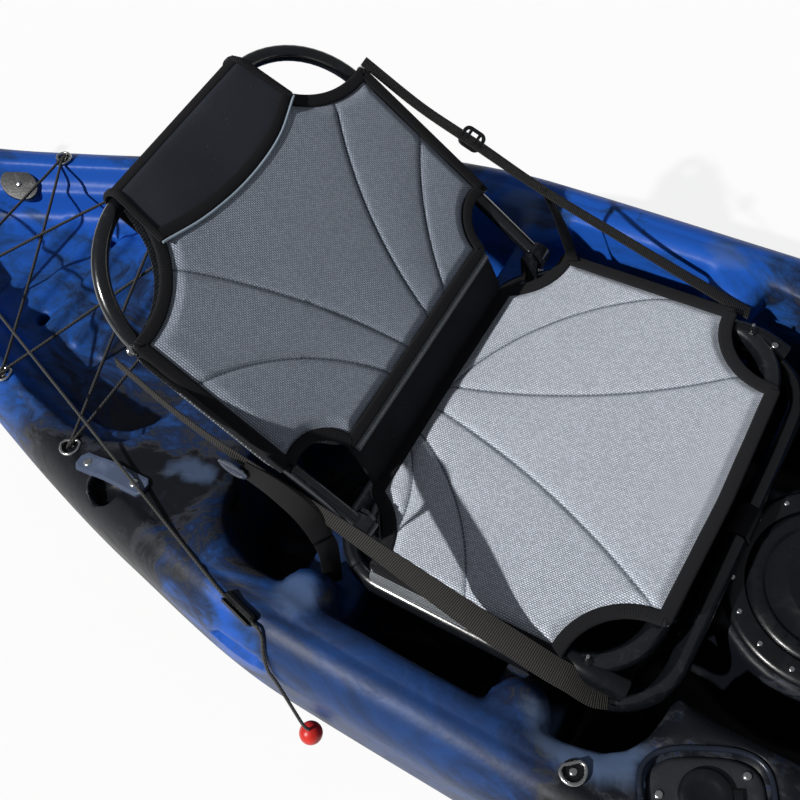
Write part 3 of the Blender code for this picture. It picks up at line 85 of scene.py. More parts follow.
SUN_WAY = Vector((0.50, 0.98, -1.0))
SUN_STRENGTH, SUN_ANGLE = 3.9, math.radians(1.4)
sunlight = bpy.data.lights.new("sun", "SUN")
sunlight.energy = SUN_STRENGTH
sunlight.angle = SUN_ANGLE
sunlight.color = (1.0, 0.985, 0.96)
sun = bpy.data.objects.new("sun", sunlight)
sun.rotation_euler = SUN_WAY.to_track_quat("-Z", "Y").to_euler()
scene.collection.objects.link(sun)

# %% [markdown]
# Each finish is a small node tree. Writing out links by hand hides what a finish does, so one class
# wraps a socket and lets plain sums add the Math nodes, and another keeps the tree of one material.


# %% Shader sums
class Wire:
    """The output of a node, ready to be used in sums."""

    def __init__(self, finish, socket):
        self.finish = finish
        self.socket = socket

    def sum(self, operation, first, second=0.0):
        return self.finish.node("Math", {"operation": operation}, {0: first, 1: second})

    def __add__(self, other):
        return self.sum("ADD", self, other)

    def __sub__(self, other):
        return self.sum("SUBTRACT", self, other)

    def __rsub__(self, other):
        return self.sum("SUBTRACT", other, self)

    def __mul__(self, other):
        return self.sum("MULTIPLY", self, other)

    def __truediv__(self, other):
        return self.sum("DIVIDE", self, other)

    __radd__ = __add__
    __rmul__ = __mul__

    def apart(self, other):
        return self.sum("ABSOLUTE", self - other)

    def least(self, other):
        return self.sum("MINIMUM", self, other)

    def most(self, other):
        return self.sum("MAXIMUM", self, other)

    def wave(self, pitch):
        """0 to 1 and back over each pitch, in the socket's own unit."""
        return self.sum("SINE", self * (math.tau / pitch)) * 0.5 + 0.5


class Finish:
    """One material, with its node tree."""

    def __init__(self, name, colour, rough, metal=0.0, **fixed):
        self.material = bpy.data.materials.new(name)
        self.material.use_nodes = True
        self.material.diffuse_color = (*colour, 1)
        self.tree = self.material.node_tree
        self.shader = self.tree.nodes["Principled BSDF"]
        self.set("Base Color", (*colour, 1))
        self.set("Roughness", rough)
        self.set("Metallic", metal)
        for socket, value in fixed.items():
            self.set(socket.replace("_", " "), value)

    def join(self, value, socket):
        if isinstance(value, Wire):
            self.tree.links.new(value.socket, socket)
        else:
            socket.default_value = value

    def set(self, socket, value):
        self.join(value, self.shader.inputs[socket])

    def node(self, kind, settings=None, inputs=None, out=0):
        made = self.tree.nodes.new("ShaderNode" + kind)
        for key, value in (settings or {}).items():
            if key == "stops":
                ramp = made.color_ramp
                while len(ramp.elements) < len(value):
                    ramp.elements.new(1.0)
                for stop, (place, shade) in zip(ramp.elements, value):
                    stop.position = place
                    stop.color = (*shade, 1) if isinstance(shade, tuple) else (shade, shade, shade, 1)
            else:
                setattr(made, key, value)
        for key, value in (inputs or {}).items():
            self.join(value, made.inputs[key])
        return Wire(self, made.outputs[out])

    def place(self):
        return self.node("TexCoord", out="Object")

    def flat(self):
        """The piece's own UV map, in metres: across it, then along it."""
        return self.node("UVMap", {"uv_map": "metres"})

    def parts(self, vector):
        cut = self.node("SeparateXYZ", None, {0: vector})
        return [Wire(self, socket) for socket in cut.socket.node.outputs]

    def stretched(self, vector, scale):
        return self.node("Mapping", None, {"Vector": vector, "Scale": scale})

    def noise(self, scale, vector, detail=3.0, rough=0.5, bent=0.0):
        values = {"Vector": vector, "Scale": scale, "Detail": detail, "Roughness": rough, "Distortion": bent}
        return self.node("TexNoise", None, values)

    def ramp(self, value, stops):
        return self.node("ValToRGB", {"stops": stops}, {"Fac": value})

    def clear(self, value, low, high, start=0.0, end=1.0):
        """value carried from low..high to start..end, and held there."""
        wires = {"Value": value, "From Min": low, "From Max": high, "To Min": start, "To Max": end}
        return self.node("MapRange", {"interpolation_type": "SMOOTHSTEP"}, wires)

    def blend(self, share, first, second):
        made = self.tree.nodes.new("ShaderNodeMix")
        made.data_type = "RGBA"
        self.join(share, made.inputs["Factor"])
        for value, socket in ((first, made.inputs["A"]), (second, made.inputs["B"])):
            colour = [s for s in made.inputs if s.name == socket.name and s.type == "RGBA"][0]
            self.join((*value, 1) if isinstance(value, tuple) else value, colour)
        return Wire(self, [s for s in made.outputs if s.type == "RGBA"][0])

    def relief(self, height, metres):
        self.set("Normal", self.node("Bump", None, {"Height": height, "Distance": metres, "Strength": 1.0}))


# %% [markdown]
# The floor is white only to the camera, to gloss and to glass, so it adds no light to the boat. Part
# of it stays plain diffuse there, and keeps the boat's shadow.

# %% White floor and sky
WHITE_SHARE = 0.86
FLOOR_HALF, FLOOR_DROP = 30.0, 0.0006


def mark_camera_rays(finish):
    rays = finish.tree.nodes.new("ShaderNodeLightPath")
    kinds = [Wire(finish, rays.outputs[f"Is {kind} Ray"]) for kind in ("Camera", "Glossy", "Transmission")]
    return kinds[0].most(kinds[1]).most(kinds[2])


floor_finish = Finish("floor_white", (0.80, 0.80, 0.80), 0.95)
glow = floor_finish.node("Emission", None, {"Color": (1, 1, 1, 1), "Strength": 1.0})
surface = Wire(floor_finish, floor_finish.shader.outputs[0])
share = mark_camera_rays(floor_finish) * WHITE_SHARE
mixed = floor_finish.node("MixShader", None, {0: share, 1: surface, 2: glow})
floor_finish.tree.links.new(mixed.socket, floor_finish.tree.nodes["Material Output"].inputs["Surface"])
mesh = bpy.data.meshes.new("floor")
corners = [(x * FLOOR_HALF, y * FLOOR_HALF, -FLOOR_DROP) for x, y in ((-1, -1), (1, -1), (1, 1), (-1, 1))]
mesh.from_pydata(corners, [], [(0, 1, 2, 3)])
mesh.materials.append(floor_finish.material)
floor = bpy.data.objects.new("floor", mesh)
scene.collection.objects.link(floor)

SKY_STRENGTH = 0.19
world = bpy.data.worlds.new("studio")
scene.world = world
world.use_nodes = True
tree = world.node_tree
sky = tree.nodes["Background"]
sky.inputs["Color"].default_value = (0.90, 0.94, 1.0, 1)
sky.inputs["Strength"].default_value = SKY_STRENGTH
seen = tree.nodes.new("ShaderNodeBackground")
seen.inputs["Color"].default_value = (1, 1, 1, 1)
rays = tree.nodes.new("ShaderNodeLightPath")
choose = tree.nodes.new("ShaderNodeMixShader")
tree.links.new(rays.outputs["Is Camera Ray"], choose.inputs[0])
tree.links.new(sky.outputs[0], choose.inputs[1])
tree.links.new(seen.outputs[0], choose.inputs[2])
tree.links.new(choose.outputs[0], tree.nodes["World Output"].inputs["Surface"])

# %% [markdown]
# The hull is polyethylene powder melted in a turning mould. Handfuls of royal blue, navy, grey and
# black powder run into each other, which gives smoky patches with a grainy edge. Two bent noises
# pick the patch, a fine one breaks the edges, and a shallow relief stands for the mould's skin.
# Light is painted in as well: pale spots of painted sheen on the deck, and painted shade that
# darkens the seat wells and the lower hull.

# %% Hull finish
BLACK, COAL, NAVY = (0.005, 0.006, 0.009), (0.026, 0.029, 0.036), (0.008, 0.016, 0.046)
DEEP, ROYAL, BRIGHT = (0.012, 0.030, 0.092), (0.012, 0.054, 0.200), (0.011, 0.080, 0.400)
SHEEN_AND_GREY_POWDER = (0.085, 0.130, 0.235)
CALM = 0.548
POWDER_AND_SHADE_PATCHES = (  # place from above, half sizes, and how far the powder goes towards blue
    (-1.02, -0.33, 0.17, 0.11, -0.20), (-0.90, -0.26, 0.08, 0.05, -0.10), (-0.85, -0.385, 0.060, 0.026, 0.17),
    (-0.74, -0.385, 0.075, 0.026, 0.19), (-0.66, -0.29, 0.05, 0.04, 0.08), (-0.50, -0.36, 0.17, 0.06, 0.035),
    (-0.39, -0.30, 0.06, 0.04, 0.05), (-0.20, -0.32, 0.20, 0.13, -0.13), (-0.55, 0.31, 0.28, 0.12, 0.25),
    (-0.665, 0.30, 0.032, 0.035, -0.20), (-0.57, 0.35, 0.030, 0.012, -0.16), (-0.31, 0.31, 0.07, 0.09, -0.14),
    # The patch over the seat wells at (-0.30, 0.0) is painted shade, not powder.
    (-0.30, 0.0, 0.34, 0.26, -0.16), (-1.30, 0.14, 0.22, 0.07, 0.14), (0.62, -0.34, 0.20, 0.08, 0.15),
    (0.95, 0.30, 0.22, 0.10, -0.12),
)
# Pale spots on the deck are painted highlight: the light's sheen on the satin plastic, not powder.
PAINTED_SHEENS = (  # place from above, half sizes, and how pale
    (-0.70, 0.29, 0.030, 0.042, 0.62), (-0.87, -0.235, 0.030, 0.016, 0.45), (-0.42, 0.33, 0.03, 0.02, 0.40),
    (-0.310, -0.302, 0.064, 0.034, 0.85), (-0.656, -0.301, 0.032, 0.028, 0.62),
)


def marbled_hull():
    finish = Finish("marbled_hull", ROYAL, 0.40, Specular_IOR_Level=0.17)
    place = finish.place()
    drawn = finish.stretched(place, (0.62, 1.0, 1.0))
    swirl = finish.noise(5.5, drawn, 4.0, 0.6, 1.2)
    x, y, z = finish.parts(place)
    fold = finish.noise(7.0, place, 4.0, 0.62, 0.8) - 0.5
    wide_bend = (x + (swirl - 0.5) * 0.26, y + fold * 0.16)
    small_bend = (x + (swirl - 0.5) * 0.10, y + fold * 0.06)

    def patch(at_x, at_y, half_x, half_y, bend=wide_bend):
        out = (bend[0] - at_x) / half_x
        over = (bend[1] - at_y) / half_y
        return finish.clear(out * out + over * over, 0.15, 1.5, 1.0, 0.0)

    broad = finish.noise(2.6, drawn, 2.0, 0.45, 1.6)
    smoke = finish.noise(11.0, drawn, 8.0, 0.68, 3.2)
    grain = finish.noise(430.0, place, 2.0, 0.6)
    mood = broad * 0.36 + smoke * 0.64 + (grain - 0.5) * 0.07
    # The first term turns the stern bluer. The second is painted shade: it darkens the hull below 0.23 m,
    # most at 0.10 m and under.
    mood = mood + finish.clear(x, -1.50, -1.05, 0.15, 0.0) + finish.clear(z, 0.10, 0.23, -0.12, 0.0)
    for at_x, at_y, half_x, half_y, shift in POWDER_AND_SHADE_PATCHES:
        mood = mood + patch(at_x, at_y, half_x, half_y) * shift
    gunwale = patch(-0.52, -0.355, 0.20, 0.060).most(patch(-0.655, -0.285, 0.060, 0.045))
    mood = mood + (CALM - mood) * gunwale * 0.72
    stops = [(0.36, BLACK), (0.42, COAL), (0.46, NAVY), (0.52, DEEP), (0.59, ROYAL), (0.70, BRIGHT)]
    powder = finish.ramp(mood, stops)
    painted_sheen = None
    for at_x, at_y, half_x, half_y, pale in PAINTED_SHEENS:
        spot = patch(at_x, at_y, half_x, half_y, small_bend) * pale
        painted_sheen = spot if painted_sheen is None else painted_sheen.most(spot)
    wisps = finish.clear(finish.noise(15.0, drawn, 6.0, 0.7, 2.0), 0.56, 0.78, 0.0, 0.16)
    # The painted sheen spots and the grey powder wisps share one pale colour, laid only on the deck's top,
    # fading in from 0.20 m to 0.27 m.
    sheen_and_wisps = painted_sheen.most(wisps) * finish.clear(z, 0.20, 0.27)
    finish.set("Base Color", finish.blend(sheen_and_wisps, powder, SHEEN_AND_GREY_POWDER))
    scuffs = finish.clear(finish.noise(34.0, drawn, 6.0, 0.7, 1.0), 0.50, 0.74)
    finish.set("Roughness", scuffs * 0.12 + 0.43)
    orange_peel = finish.noise(95.0, place, 2.0, 0.5)
    finish.relief(orange_peel + grain * 0.1, 0.0003)
    return finish.material


def moulded(name, colour, rough, grain_size=900.0, depth=0.00006):
    """Injection-moulded plastic: fine spark texture, and wear that turns it a little greyer."""
    finish = Finish(name, colour, rough, Specular_IOR_Level=0.35)
    place = finish.place()
    wear = finish.clear(finish.noise(26.0, place, 5.0, 0.65, 0.6), 0.50, 0.78)
    dusty = tuple(c * 1.5 + 0.006 for c in colour)
    finish.set("Base Color", finish.blend(wear, colour, dusty))
    finish.set("Roughness", wear * 0.16 + rough)
    finish.relief(finish.noise(grain_size, place, 2.0), depth)
    return finish.material


def coated_tube():
    finish = Finish("powder_coated_tube", (0.008, 0.009, 0.011), 0.24, Coat_Weight=0.35)
    finish.set("Coat Roughness", 0.12)
    place = finish.place()
    dust = finish.clear(finish.noise(60.0, place, 5.0, 0.7), 0.52, 0.80)
    finish.set("Base Color", finish.blend(dust, (0.006, 0.007, 0.009), (0.020, 0.022, 0.026)))
    finish.set("Roughness", dust * 0.22 + 0.22)
    finish.relief(finish.noise(260.0, place, 2.0), 0.00010)
    return finish.material


def steel():
    finish = Finish("stainless_steel", (0.62, 0.62, 0.63), 0.22, 1.0)
    place = finish.place()
    drawn = finish.stretched(place, (1.0, 9.0, 1.0))
    lines = finish.noise(600.0, drawn, 3.0, 0.6)
    finish.set("Roughness", lines * 0.22 + 0.12)
    tint = finish.blend(finish.noise(70.0, place, 4.0), (0.44, 0.44, 0.45), (0.74, 0.73, 0.71))
    finish.set("Base Color", tint)
    finish.relief(lines, 0.00004)
    return finish.material


# %% [markdown]
# The seat cloth is a spacer mesh: rows of pale loops, set half a loop apart, over darker yarn. The
# loops are 3.4 mm wide, so a brick pattern in the panel's own metres draws them. Binding tape and
# webbing are woven too, and get ribs across their length.

# %% Cloth finishes
LOOP_WIDTH, LOOP_HEIGHT, LOOP_GAP = 0.0034, 0.0021, 0.000391
STITCH, STITCH_WIDTH = 0.0052, 0.0015
YARN = 0.0022


def seam_lines(finish, circles):
    """1 on the stitches of any seam, and how far the nearest seam is."""
    across, along, _ = finish.parts(finish.flat())
    stitches, nearest = None, None
    for cx, cy, r in circles:
        out, over_centre = across - cx, along - cy
        off = out.sum("SQRT", out * out + over_centre * over_centre).apart(r)
        angle = out.sum("ARCTAN2", over_centre, out)
        dashes = finish.clear((angle * r).wave(STITCH), 0.10, 0.30, 0.35, 1.0)
        thread = finish.clear(off, 0.4 * STITCH_WIDTH, STITCH_WIDTH, 1.0, 0.0) * dashes
        stitches = thread if stitches is None else stitches.most(thread)
        nearest = off if nearest is None else nearest.least(off)
    return stitches, nearest


def spacer_mesh(name, pale, deep, circles=()):
    finish = Finish(name, pale, 0.80, Specular_IOR_Level=0.25)
    flat = finish.flat()
    values = {"Vector": flat, "Color1": (1, 1, 1, 1), "Color2": (0.70, 0.70, 0.70, 1),
              "Mortar": (0, 0, 0, 1), "Scale": 1.0, "Mortar Size": LOOP_GAP, "Mortar Smooth": 0.7,
              "Bias": 0.0, "Brick Width": LOOP_WIDTH, "Row Height": LOOP_HEIGHT}
    loops = finish.node("TexBrick", {"offset": 0.5, "squash": 1.0}, values)
    soil = finish.noise(11.0, flat, 4.0, 0.6)
    shade = loops * (soil * 0.16 + 0.88)
    height = loops
    if circles:
        stitches, nearest = seam_lines(finish, circles)
        # Within 3 mm of a seam the cloth is darkened: painted shade in the sewn valley. The stitches
        # themselves are dark thread.
        shade = shade * (1 - stitches * 0.92) * finish.clear(nearest, 0.0, 0.0030, 0.72, 1.0)
        height = loops + finish.clear(nearest, 0.0, 0.0040, 0.0, 1.4)
    finish.set("Base Color", finish.blend(shade, deep, pale))
    finish.relief(height, 0.0007)
    return finish.material


def woven(name, colour, pale, rib, depth, rough=0.85):
    """Tape or webbing: ribs across the length, and yarns along it."""
    finish = Finish(name, colour, rough, Specular_IOR_Level=0.25)
    side, along, _ = finish.parts(finish.flat())
    ribs = along.wave(rib)
    yarns = side.wave(YARN)
    fuzz = finish.noise(700.0, finish.place(), 3.0, 0.7)
    shade = ribs * 0.55 + yarns * 0.2 + fuzz * 0.35
    finish.set("Base Color", finish.blend(finish.clear(shade, 0.35, 1.0), colour, pale))
    finish.relief(ribs * 0.7 + yarns * 0.25 + fuzz * 0.3, depth)
    return finish.material


def smooth_cloth(name, colour, pale, weave=1500.0):
    """Neoprene and close-woven cloth: a fine nap, and a little lint."""
    finish = Finish(name, colour, 0.88, Specular_IOR_Level=0.25)
    place = finish.place()
    nap = finish.noise(weave, place, 3.0, 0.7)
    lint = finish.clear(finish.noise(330.0, place, 2.0), 0.70, 0.78)
    broad = finish.noise(14.0, place, 3.0)
    shade = finish.clear(nap * 0.5 + broad * 0.6, 0.30, 0.95)
    cloth = finish.blend(shade, colour, pale)
    finish.set("Base Color", finish.blend(lint * 0.35, cloth, (0.20, 0.21, 0.23)))
    finish.relief(nap, 0.00012)
    return finish.material


def braided(name, colour, pale, pitch):
    finish = Finish(name, colour, 0.7, Sheen_Weight=0.2)
    side, along, _ = finish.parts(finish.flat())
    left = (along + side).wave(pitch)
    strands = left * (along - side).wave(pitch)
    finish.set("Base Color", finish.blend(strands, colour, pale))
    finish.relief(strands, 0.0004)
    return finish.material


MESH_PALE, MESH_DEEP = (0.79, 0.84, 0.94), (0.105, 0.125, 0.160)
# The back is the same spacer mesh as the pan. Its darker colours are painted shade, as it leans away from the
# sun.
SHADED_BACK_PALE, SHADED_BACK_DEEP = (0.40, 0.445, 0.530), (0.075, 0.090, 0.118)
FINISHES = (  # look, slot and material; the first look of a slot is the one its solids get
    ("hull", "hull_plastic", marbled_hull()),
    ("black", "black_plastic", moulded("moulded_black", (0.0050, 0.0055, 0.0070), 0.26)),
    ("grey", "grey_plastic", moulded("moulded_grey", (0.016, 0.018, 0.022), 0.46, 500.0, 0.00015)),
    ("lip", "hull_plastic", moulded("polished_lip", (0.010, 0.014, 0.024), 0.20)),
    ("handle", "grey_plastic", moulded("slate_handle_strap", (0.060, 0.080, 0.135), 0.50)),
    ("tube", "black_tube", coated_tube()),
    ("mesh", "seat_mesh", spacer_mesh("grey_spacer_mesh", MESH_PALE, MESH_DEEP)),
    # A much darker copy of the spacer mesh, as painted shade, for the folds, the skirt and the back's rear
    # sheet.
    ("shaded_mesh_fold", "seat_mesh", spacer_mesh("shaded_folded_mesh", (0.26, 0.28, 0.30), (0.03, 0.035, 0.04))),
    ("webbing", "webbing",
     woven("ribbed_webbing", (0.008,) * 3, (0.062, 0.059, 0.055), 0.0024, 0.0006)),
    ("binding", "webbing",
     woven("binding_tape", (0.004, 0.004, 0.005), (0.024, 0.025, 0.028), 0.0016, 0.0004, 0.95)),
    ("tail", "webbing",
     woven("smooth_webbing", (0.005, 0.005, 0.006), (0.016, 0.016, 0.017), 0.0009, 0.0002)),
    ("cloth", "webbing", smooth_cloth("black_cloth", (0.006, 0.006, 0.008), (0.020, 0.021, 0.025))),
    ("neoprene", "neoprene", smooth_cloth("neoprene", (0.018, 0.021, 0.029), (0.038, 0.042, 0.056))),
    ("piping", "neoprene", smooth_cloth("grey_piping", (0.24, 0.31, 0.38), (0.42, 0.50, 0.58), 900.0)),
    ("cord", "black_cord", braided("braided_cord", (0.008, 0.008, 0.008), (0.060, 0.058, 0.054), 0.0052)),
    ("steel", "stainless_steel", steel()),
    ("red", "red_ball", moulded("red_ball_plastic", (0.50, 0.020, 0.014), 0.30, 300.0)),
    ("slider", "black_plastic", moulded("smoked_slider", (0.040, 0.050, 0.075), 0.22, 300.0)),
)
LOOKS = {look: material for look, _, material in FINISHES}
BY_SLOT = {slot: look for look, slot, _ in reversed(FINISHES)}
for row in frame["record"]["subparts"]:
    node = NODES[row["node"]]
    node.data.materials.clear()
    look = "handle" if row["node"].startswith("side_handle") else BY_SLOT[row["material_slot"]]
    node.data.materials.append(LOOKS[look])

# %% [markdown]
# Most pieces are a closed outline carried along a path: tube, webbing, binding, cord. One function
# makes them all, and writes a UV map in metres so that weaves keep their real size.


# %% Making pieces
UP, ACROSS = Vector((0, 0, 1)), Vector((0, 1, 0))
SIDES = (("starboard", -1), ("port", 1))
CLOTH_SOFT = 70


def settle(piece, look, body, *nodes):
    """Gives a finished piece its look, its body and the solids it stands for."""
    if look:
        piece.data.materials.clear()
        piece.data.materials.append(LOOKS[look])
    if body:
        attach(piece, body)
    if nodes:
        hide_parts(*nodes)
    return piece


def from_faces(name, points, faces, metres=None, soft=40):
    mesh = bpy.data.meshes.new(name)
    mesh.from_pydata([tuple(p) for p in points], [], faces)
    if metres is not None:
        layer = mesh.uv_layers.new(name="metres")
        for face, corners in zip(mesh.polygons, metres):
            for loop, place in zip(face.loop_indices, corners):
                layer.data[loop].uv = place
    bm = bmesh.new()
    bm.from_mesh(mesh)
    bmesh.ops.recalc_face_normals(bm, faces=bm.faces)
    bm.to_mesh(mesh)
    bm.free()
    mesh.shade_smooth()
    mesh.set_sharp_from_angle(angle=math.radians(soft))
    made = bpy.data.objects.new(name, mesh)
    scene.collection.objects.link(made)
    return made


def joined(name, pieces):
    """Several meshes made into one object."""
    bm = bmesh.new()
    for piece in pieces:
        bm.from_mesh(piece.data)
    whole = pieces[0]
    bm.to_mesh(whole.data)
    bm.free()
    whole.name = name
    for piece in pieces[1:]:
        bpy.data.objects.remove(piece)
    return whole


def polar(r, angle):
    return r * math.cos(angle), r * math.sin(angle)


def round_outline(radius, sides):
    return [polar(radius, math.tau * k / sides) for k in range(sides)]


def ring_faces(rows, n, loop=False, ends=False):
    """Faces between rows of n points. loop joins the last row to the first, and ends closes both."""
    faces = [(i * n + k, i * n + (k + 1) % n, (i + 1) % rows * n + (k + 1) % n, (i + 1) % rows * n + k)
             for i in range(rows if loop else rows - 1) for k in range(n)]
    if ends:
        faces += [tuple(range(n)), tuple(range((rows - 1) * n, rows * n))]
    return faces


def sheet_faces(columns, rows):
    """Faces of an open sheet whose points are listed column by column."""
    return [(i * rows + j, (i + 1) * rows + j, (i + 1) * rows + j + 1, i * rows + j + 1)
            for i in range(columns - 1) for j in range(rows - 1)]


def flat_outline(width, thick, steps=3):
    """A strip's section, rounded along its two edges."""
    half = width / 2 - thick / 2
    ends = []
    for middle, start in ((half, -0.5), (-half, 0.5)):
        for k in range(steps + 1):
            a = math.pi * (start + k / steps)
            ends.append((middle + thick / 2 * math.cos(a), thick / 2 * math.sin(a)))
    return ends


def swept(name, path, outline, ups=None, closed=False):
    """Carries an outline along a path. ups is the outline's second axis: one for all, or one per point."""
    path = [Vector(p) for p in path]
    count, n = len(path), len(outline)
    tangents = []
    for i in range(count):
        before = path[i - 1] if closed or i else path[0]
        after = path[(i + 1) % count] if closed or i < count - 1 else path[-1]
        tangents.append((after - before).normalized())
    if ups is None:
        lift = tangents[0].orthogonal().normalized()
        ups = []
        for tangent in tangents:
            lift = (lift - tangent * lift.dot(tangent)).normalized()
            ups.append(lift)
    elif isinstance(ups, Vector):
        ups = [ups] * count
    points, run, around = [], [0.0], [0.0]
    for i in range(count):
        side = tangents[i].cross(ups[i]).normalized()
        lift = side.cross(tangents[i]).normalized()
        points += [path[i] + side * a + lift * b for a, b in outline]
        run.append(run[-1] + (path[(i + 1) % count] - path[i]).length)
    for j in range(n):
        around.append(around[-1] + (Vector(outline[(j + 1) % n]) - Vector(outline[j])).length)
    corners = ((0, 0), (1, 0), (1, 1), (0, 1))
    metres = [[(around[j + a], run[i + b]) for a, b in corners]
              for i in range(count if closed else count - 1) for j in range(n)]
    if not closed:
        metres += [tuple(outline)] * 2
    return from_faces(name, points, ring_faces(count, n, closed, not closed), metres)


def curved(points, step=0.006):
    """Points along a smooth curve through a given route."""
    points = [Vector(p) for p in points]
    route = [2 * points[0] - points[1]] + points + [2 * points[-1] - points[-2]]
    made = []
    for i in range(1, len(route) - 2):
        a, b, c, d = route[i - 1:i + 3]
        count = max(2, round((c - b).length / step))
        for k in range(count):
            t = k / count
            made.append(0.5 * (2 * b + (c - a) * t + (2 * a - 5 * b + 4 * c - d) * t * t
                               + (3 * b - a - 3 * c + d) * t**3))
    return made + [route[-2]]


def turned(name, outline, centre, sides, axis=UP):
    """An outline of (radius, height) pairs turned round an axis, closed at the middle."""
    turn = UP.rotation_difference(Vector(axis)).to_matrix()
    points = [Vector(centre) + turn @ Vector((*polar(r, math.tau * k / sides), h))
              for r, h in outline for k in range(sides)]
    return from_faces(name, points, ring_faces(len(outline), sides, False, True))


def bake_modifiers(piece):
    bpy.context.view_layer.update()
    graph = bpy.context.evaluated_depsgraph_get()
    mesh = bpy.data.meshes.new_from_object(piece.evaluated_get(graph), depsgraph=graph)
    piece.modifiers.clear()
    piece.data = mesh


def cloth(name, points, faces, flat, thick, offset, weld=False):
    """A sheet given its thickness. flat holds each point's place on the uncut cloth."""
    made = from_faces(name, points, faces, [[flat[v] for v in face] for face in faces], CLOTH_SOFT)
    if weld:
        bm = bmesh.new()
        bm.from_mesh(made.data)
        bmesh.ops.remove_doubles(bm, verts=bm.verts, dist=1e-5)
        bm.to_mesh(made.data)
        bm.free()
    solid = made.modifiers.new("cloth", "SOLIDIFY")
    solid.thickness = thick
    solid.offset = offset
    bake_modifiers(made)
    return made


def screws(name, places, radius, body):
    """Pan-head screws with a cross slot. places are (point, direction) pairs."""
    dome = ((1.0, 0.0), (1.0, 0.18), (0.88, 0.40), (0.62, 0.52), (0.34, 0.56))
    cross = [(0.30, 0.09), (0.09, 0.09), (0.09, 0.30)]
    plus = cross + [(-y, x) for x, y in cross] + [(-x, -y) for x, y in cross] + [(y, -x) for x, y in cross]
    heads = []
    for point, axis in places:
        point, axis = Vector(point), Vector(axis).normalized()
        turn = UP.rotation_difference(axis).to_matrix()
        heads.append(turned("head", [(r * radius, h * radius) for r, h in dome], point, 16, axis))
        top = [point + turn @ Vector((x * radius, y * radius, 0.57 * radius)) for x, y in plus]
        low = [p - axis * 0.2 * radius for p in top]
        heads.append(from_faces("slot", top + low, ring_faces(2, len(plus), False, True)))
    settle(joined(name, heads), "steel", body)


# %% [markdown]
# The free tail of the rudder's lift line leaves the jam cleat, rolls over the gunwale and hangs down
# the hull's side to a red ball that the hand can find. It is a 4 mm braid, 0.17 m long.

# %% Lift line's tail and ball
TAIL_ROUTE = ((-0.6825, -0.3581, 0.3187), (-0.6767, -0.3595, 0.3187), (-0.6690, -0.3647, 0.3127),
              (-0.6630, -0.3766, 0.3000), (-0.6560, -0.3866, 0.2781), (-0.6470, -0.3907, 0.2526),
              (-0.6170, -0.4070, 0.1993), (-0.6130, -0.4070, 0.1833), (-0.6130, -0.4070, 0.1793))
LINE = 0.002
BALL, BALL_PLACE = 0.014, Vector((-0.613, -0.407, 0.165))

tail_path = curved(TAIL_ROUTE, 0.006)
tail_length = sum((b - a).length for a, b in zip(tail_path, tail_path[1:]))
tail = settle(swept("lift_line_tail", tail_path, round_outline(LINE, 12)), "cord", "boat", "tail_cord")
profile = [polar(BALL, math.pi * k / 24)[::-1] for k in range(1, 24)]
ball = settle(turned("red_pull_ball", profile, BALL_PLACE, 40), "red", "boat", "red_ball")
print("tail", round(tail_length, 4))
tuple(TAIL_ROUTE[0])

# %% [markdown]
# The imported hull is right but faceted, and a moulded hull has no sharp edge anywhere. So its outer
# skin is taken, the mouths under the hatches are closed as deep pockets, and it is remeshed to even
# small faces, smoothed, and its outside drawn back onto the true curves of its sections.

# %% Hull tables
MIDDLE = 1.845
HULL_LENGTH = 4.15
HALF_BEAM = (
    (0.0, 0.030), (0.08, 0.078), (0.27, 0.145), (0.45, 0.208), (0.62, 0.268), (0.89, 0.340), (1.17, 0.386),
    (1.50, 0.391), (2.10, 0.397), (2.55, 0.392), (2.95, 0.350), (3.35, 0.268), (3.70, 0.176), (3.95, 0.098),
    (4.10, 0.045), (4.15, 0.022),
)
SHEER = (
    (0.0, 0.284), (0.15, 0.268), (0.35, 0.256), (0.62, 0.258), (0.85, 0.300), (1.02, 0.320), (2.60, 0.320),
    (3.30, 0.342), (3.80, 0.368), (4.15, 0.385),
)
KEEL = (
    (0.0, 0.110), (0.10, 0.062), (0.30, 0.022), (0.60, 0.005), (0.95, 0.0), (2.95, 0.0), (3.40, 0.010),
    (3.75, 0.042), (3.98, 0.105), (4.10, 0.185), (4.15, 0.270),
)
FULLNESS = ((0.0, 0.0), (0.25, 0.25), (0.95, 1.0), (2.8, 1.0), (3.7, 0.3), (4.15, 0.0))
SHOULDER_DROP, SHOULDER_WIDTH, SHOULDER_START = 0.075, 0.055, 0.12
SHOULDER_POWER = 2 / 0.87
CHINE_SOFT, CHINE_MORE = 2.1, 2.4
TUNNEL_DEPTH, TUNNEL_AT, TUNNEL_HALF, TUNNEL_CUT = 0.020, 0.43, 0.14, 0.08
END_MARGIN = 0.03


def smooth_table(table, at):
    """The value at each place, on a curve through the table that never overshoots it."""
    xs, ys = np.array(table).T
    steps = np.diff(ys) / np.diff(xs)
    before, after = steps[:-1], steps[1:]
    same = before * after > 0
    inner = np.where(same, 2 * before * after / np.where(same, before + after, 1), 0)
    slopes = np.concatenate([steps[:1], inner, steps[-1:]])
    at = np.clip(at, xs[0], xs[-1])
    i = np.clip(np.searchsorted(xs, at, side="right") - 1, 0, len(xs) - 2)
    width = xs[i + 1] - xs[i]
    t = (at - xs[i]) / width
    bend = slopes[i] * width * t * (1 - t) ** 2 - slopes[i + 1] * width * t * t * (1 - t)
    return ys[i] + (ys[i + 1] - ys[i]) * t * t * (3 - 2 * t) + bend


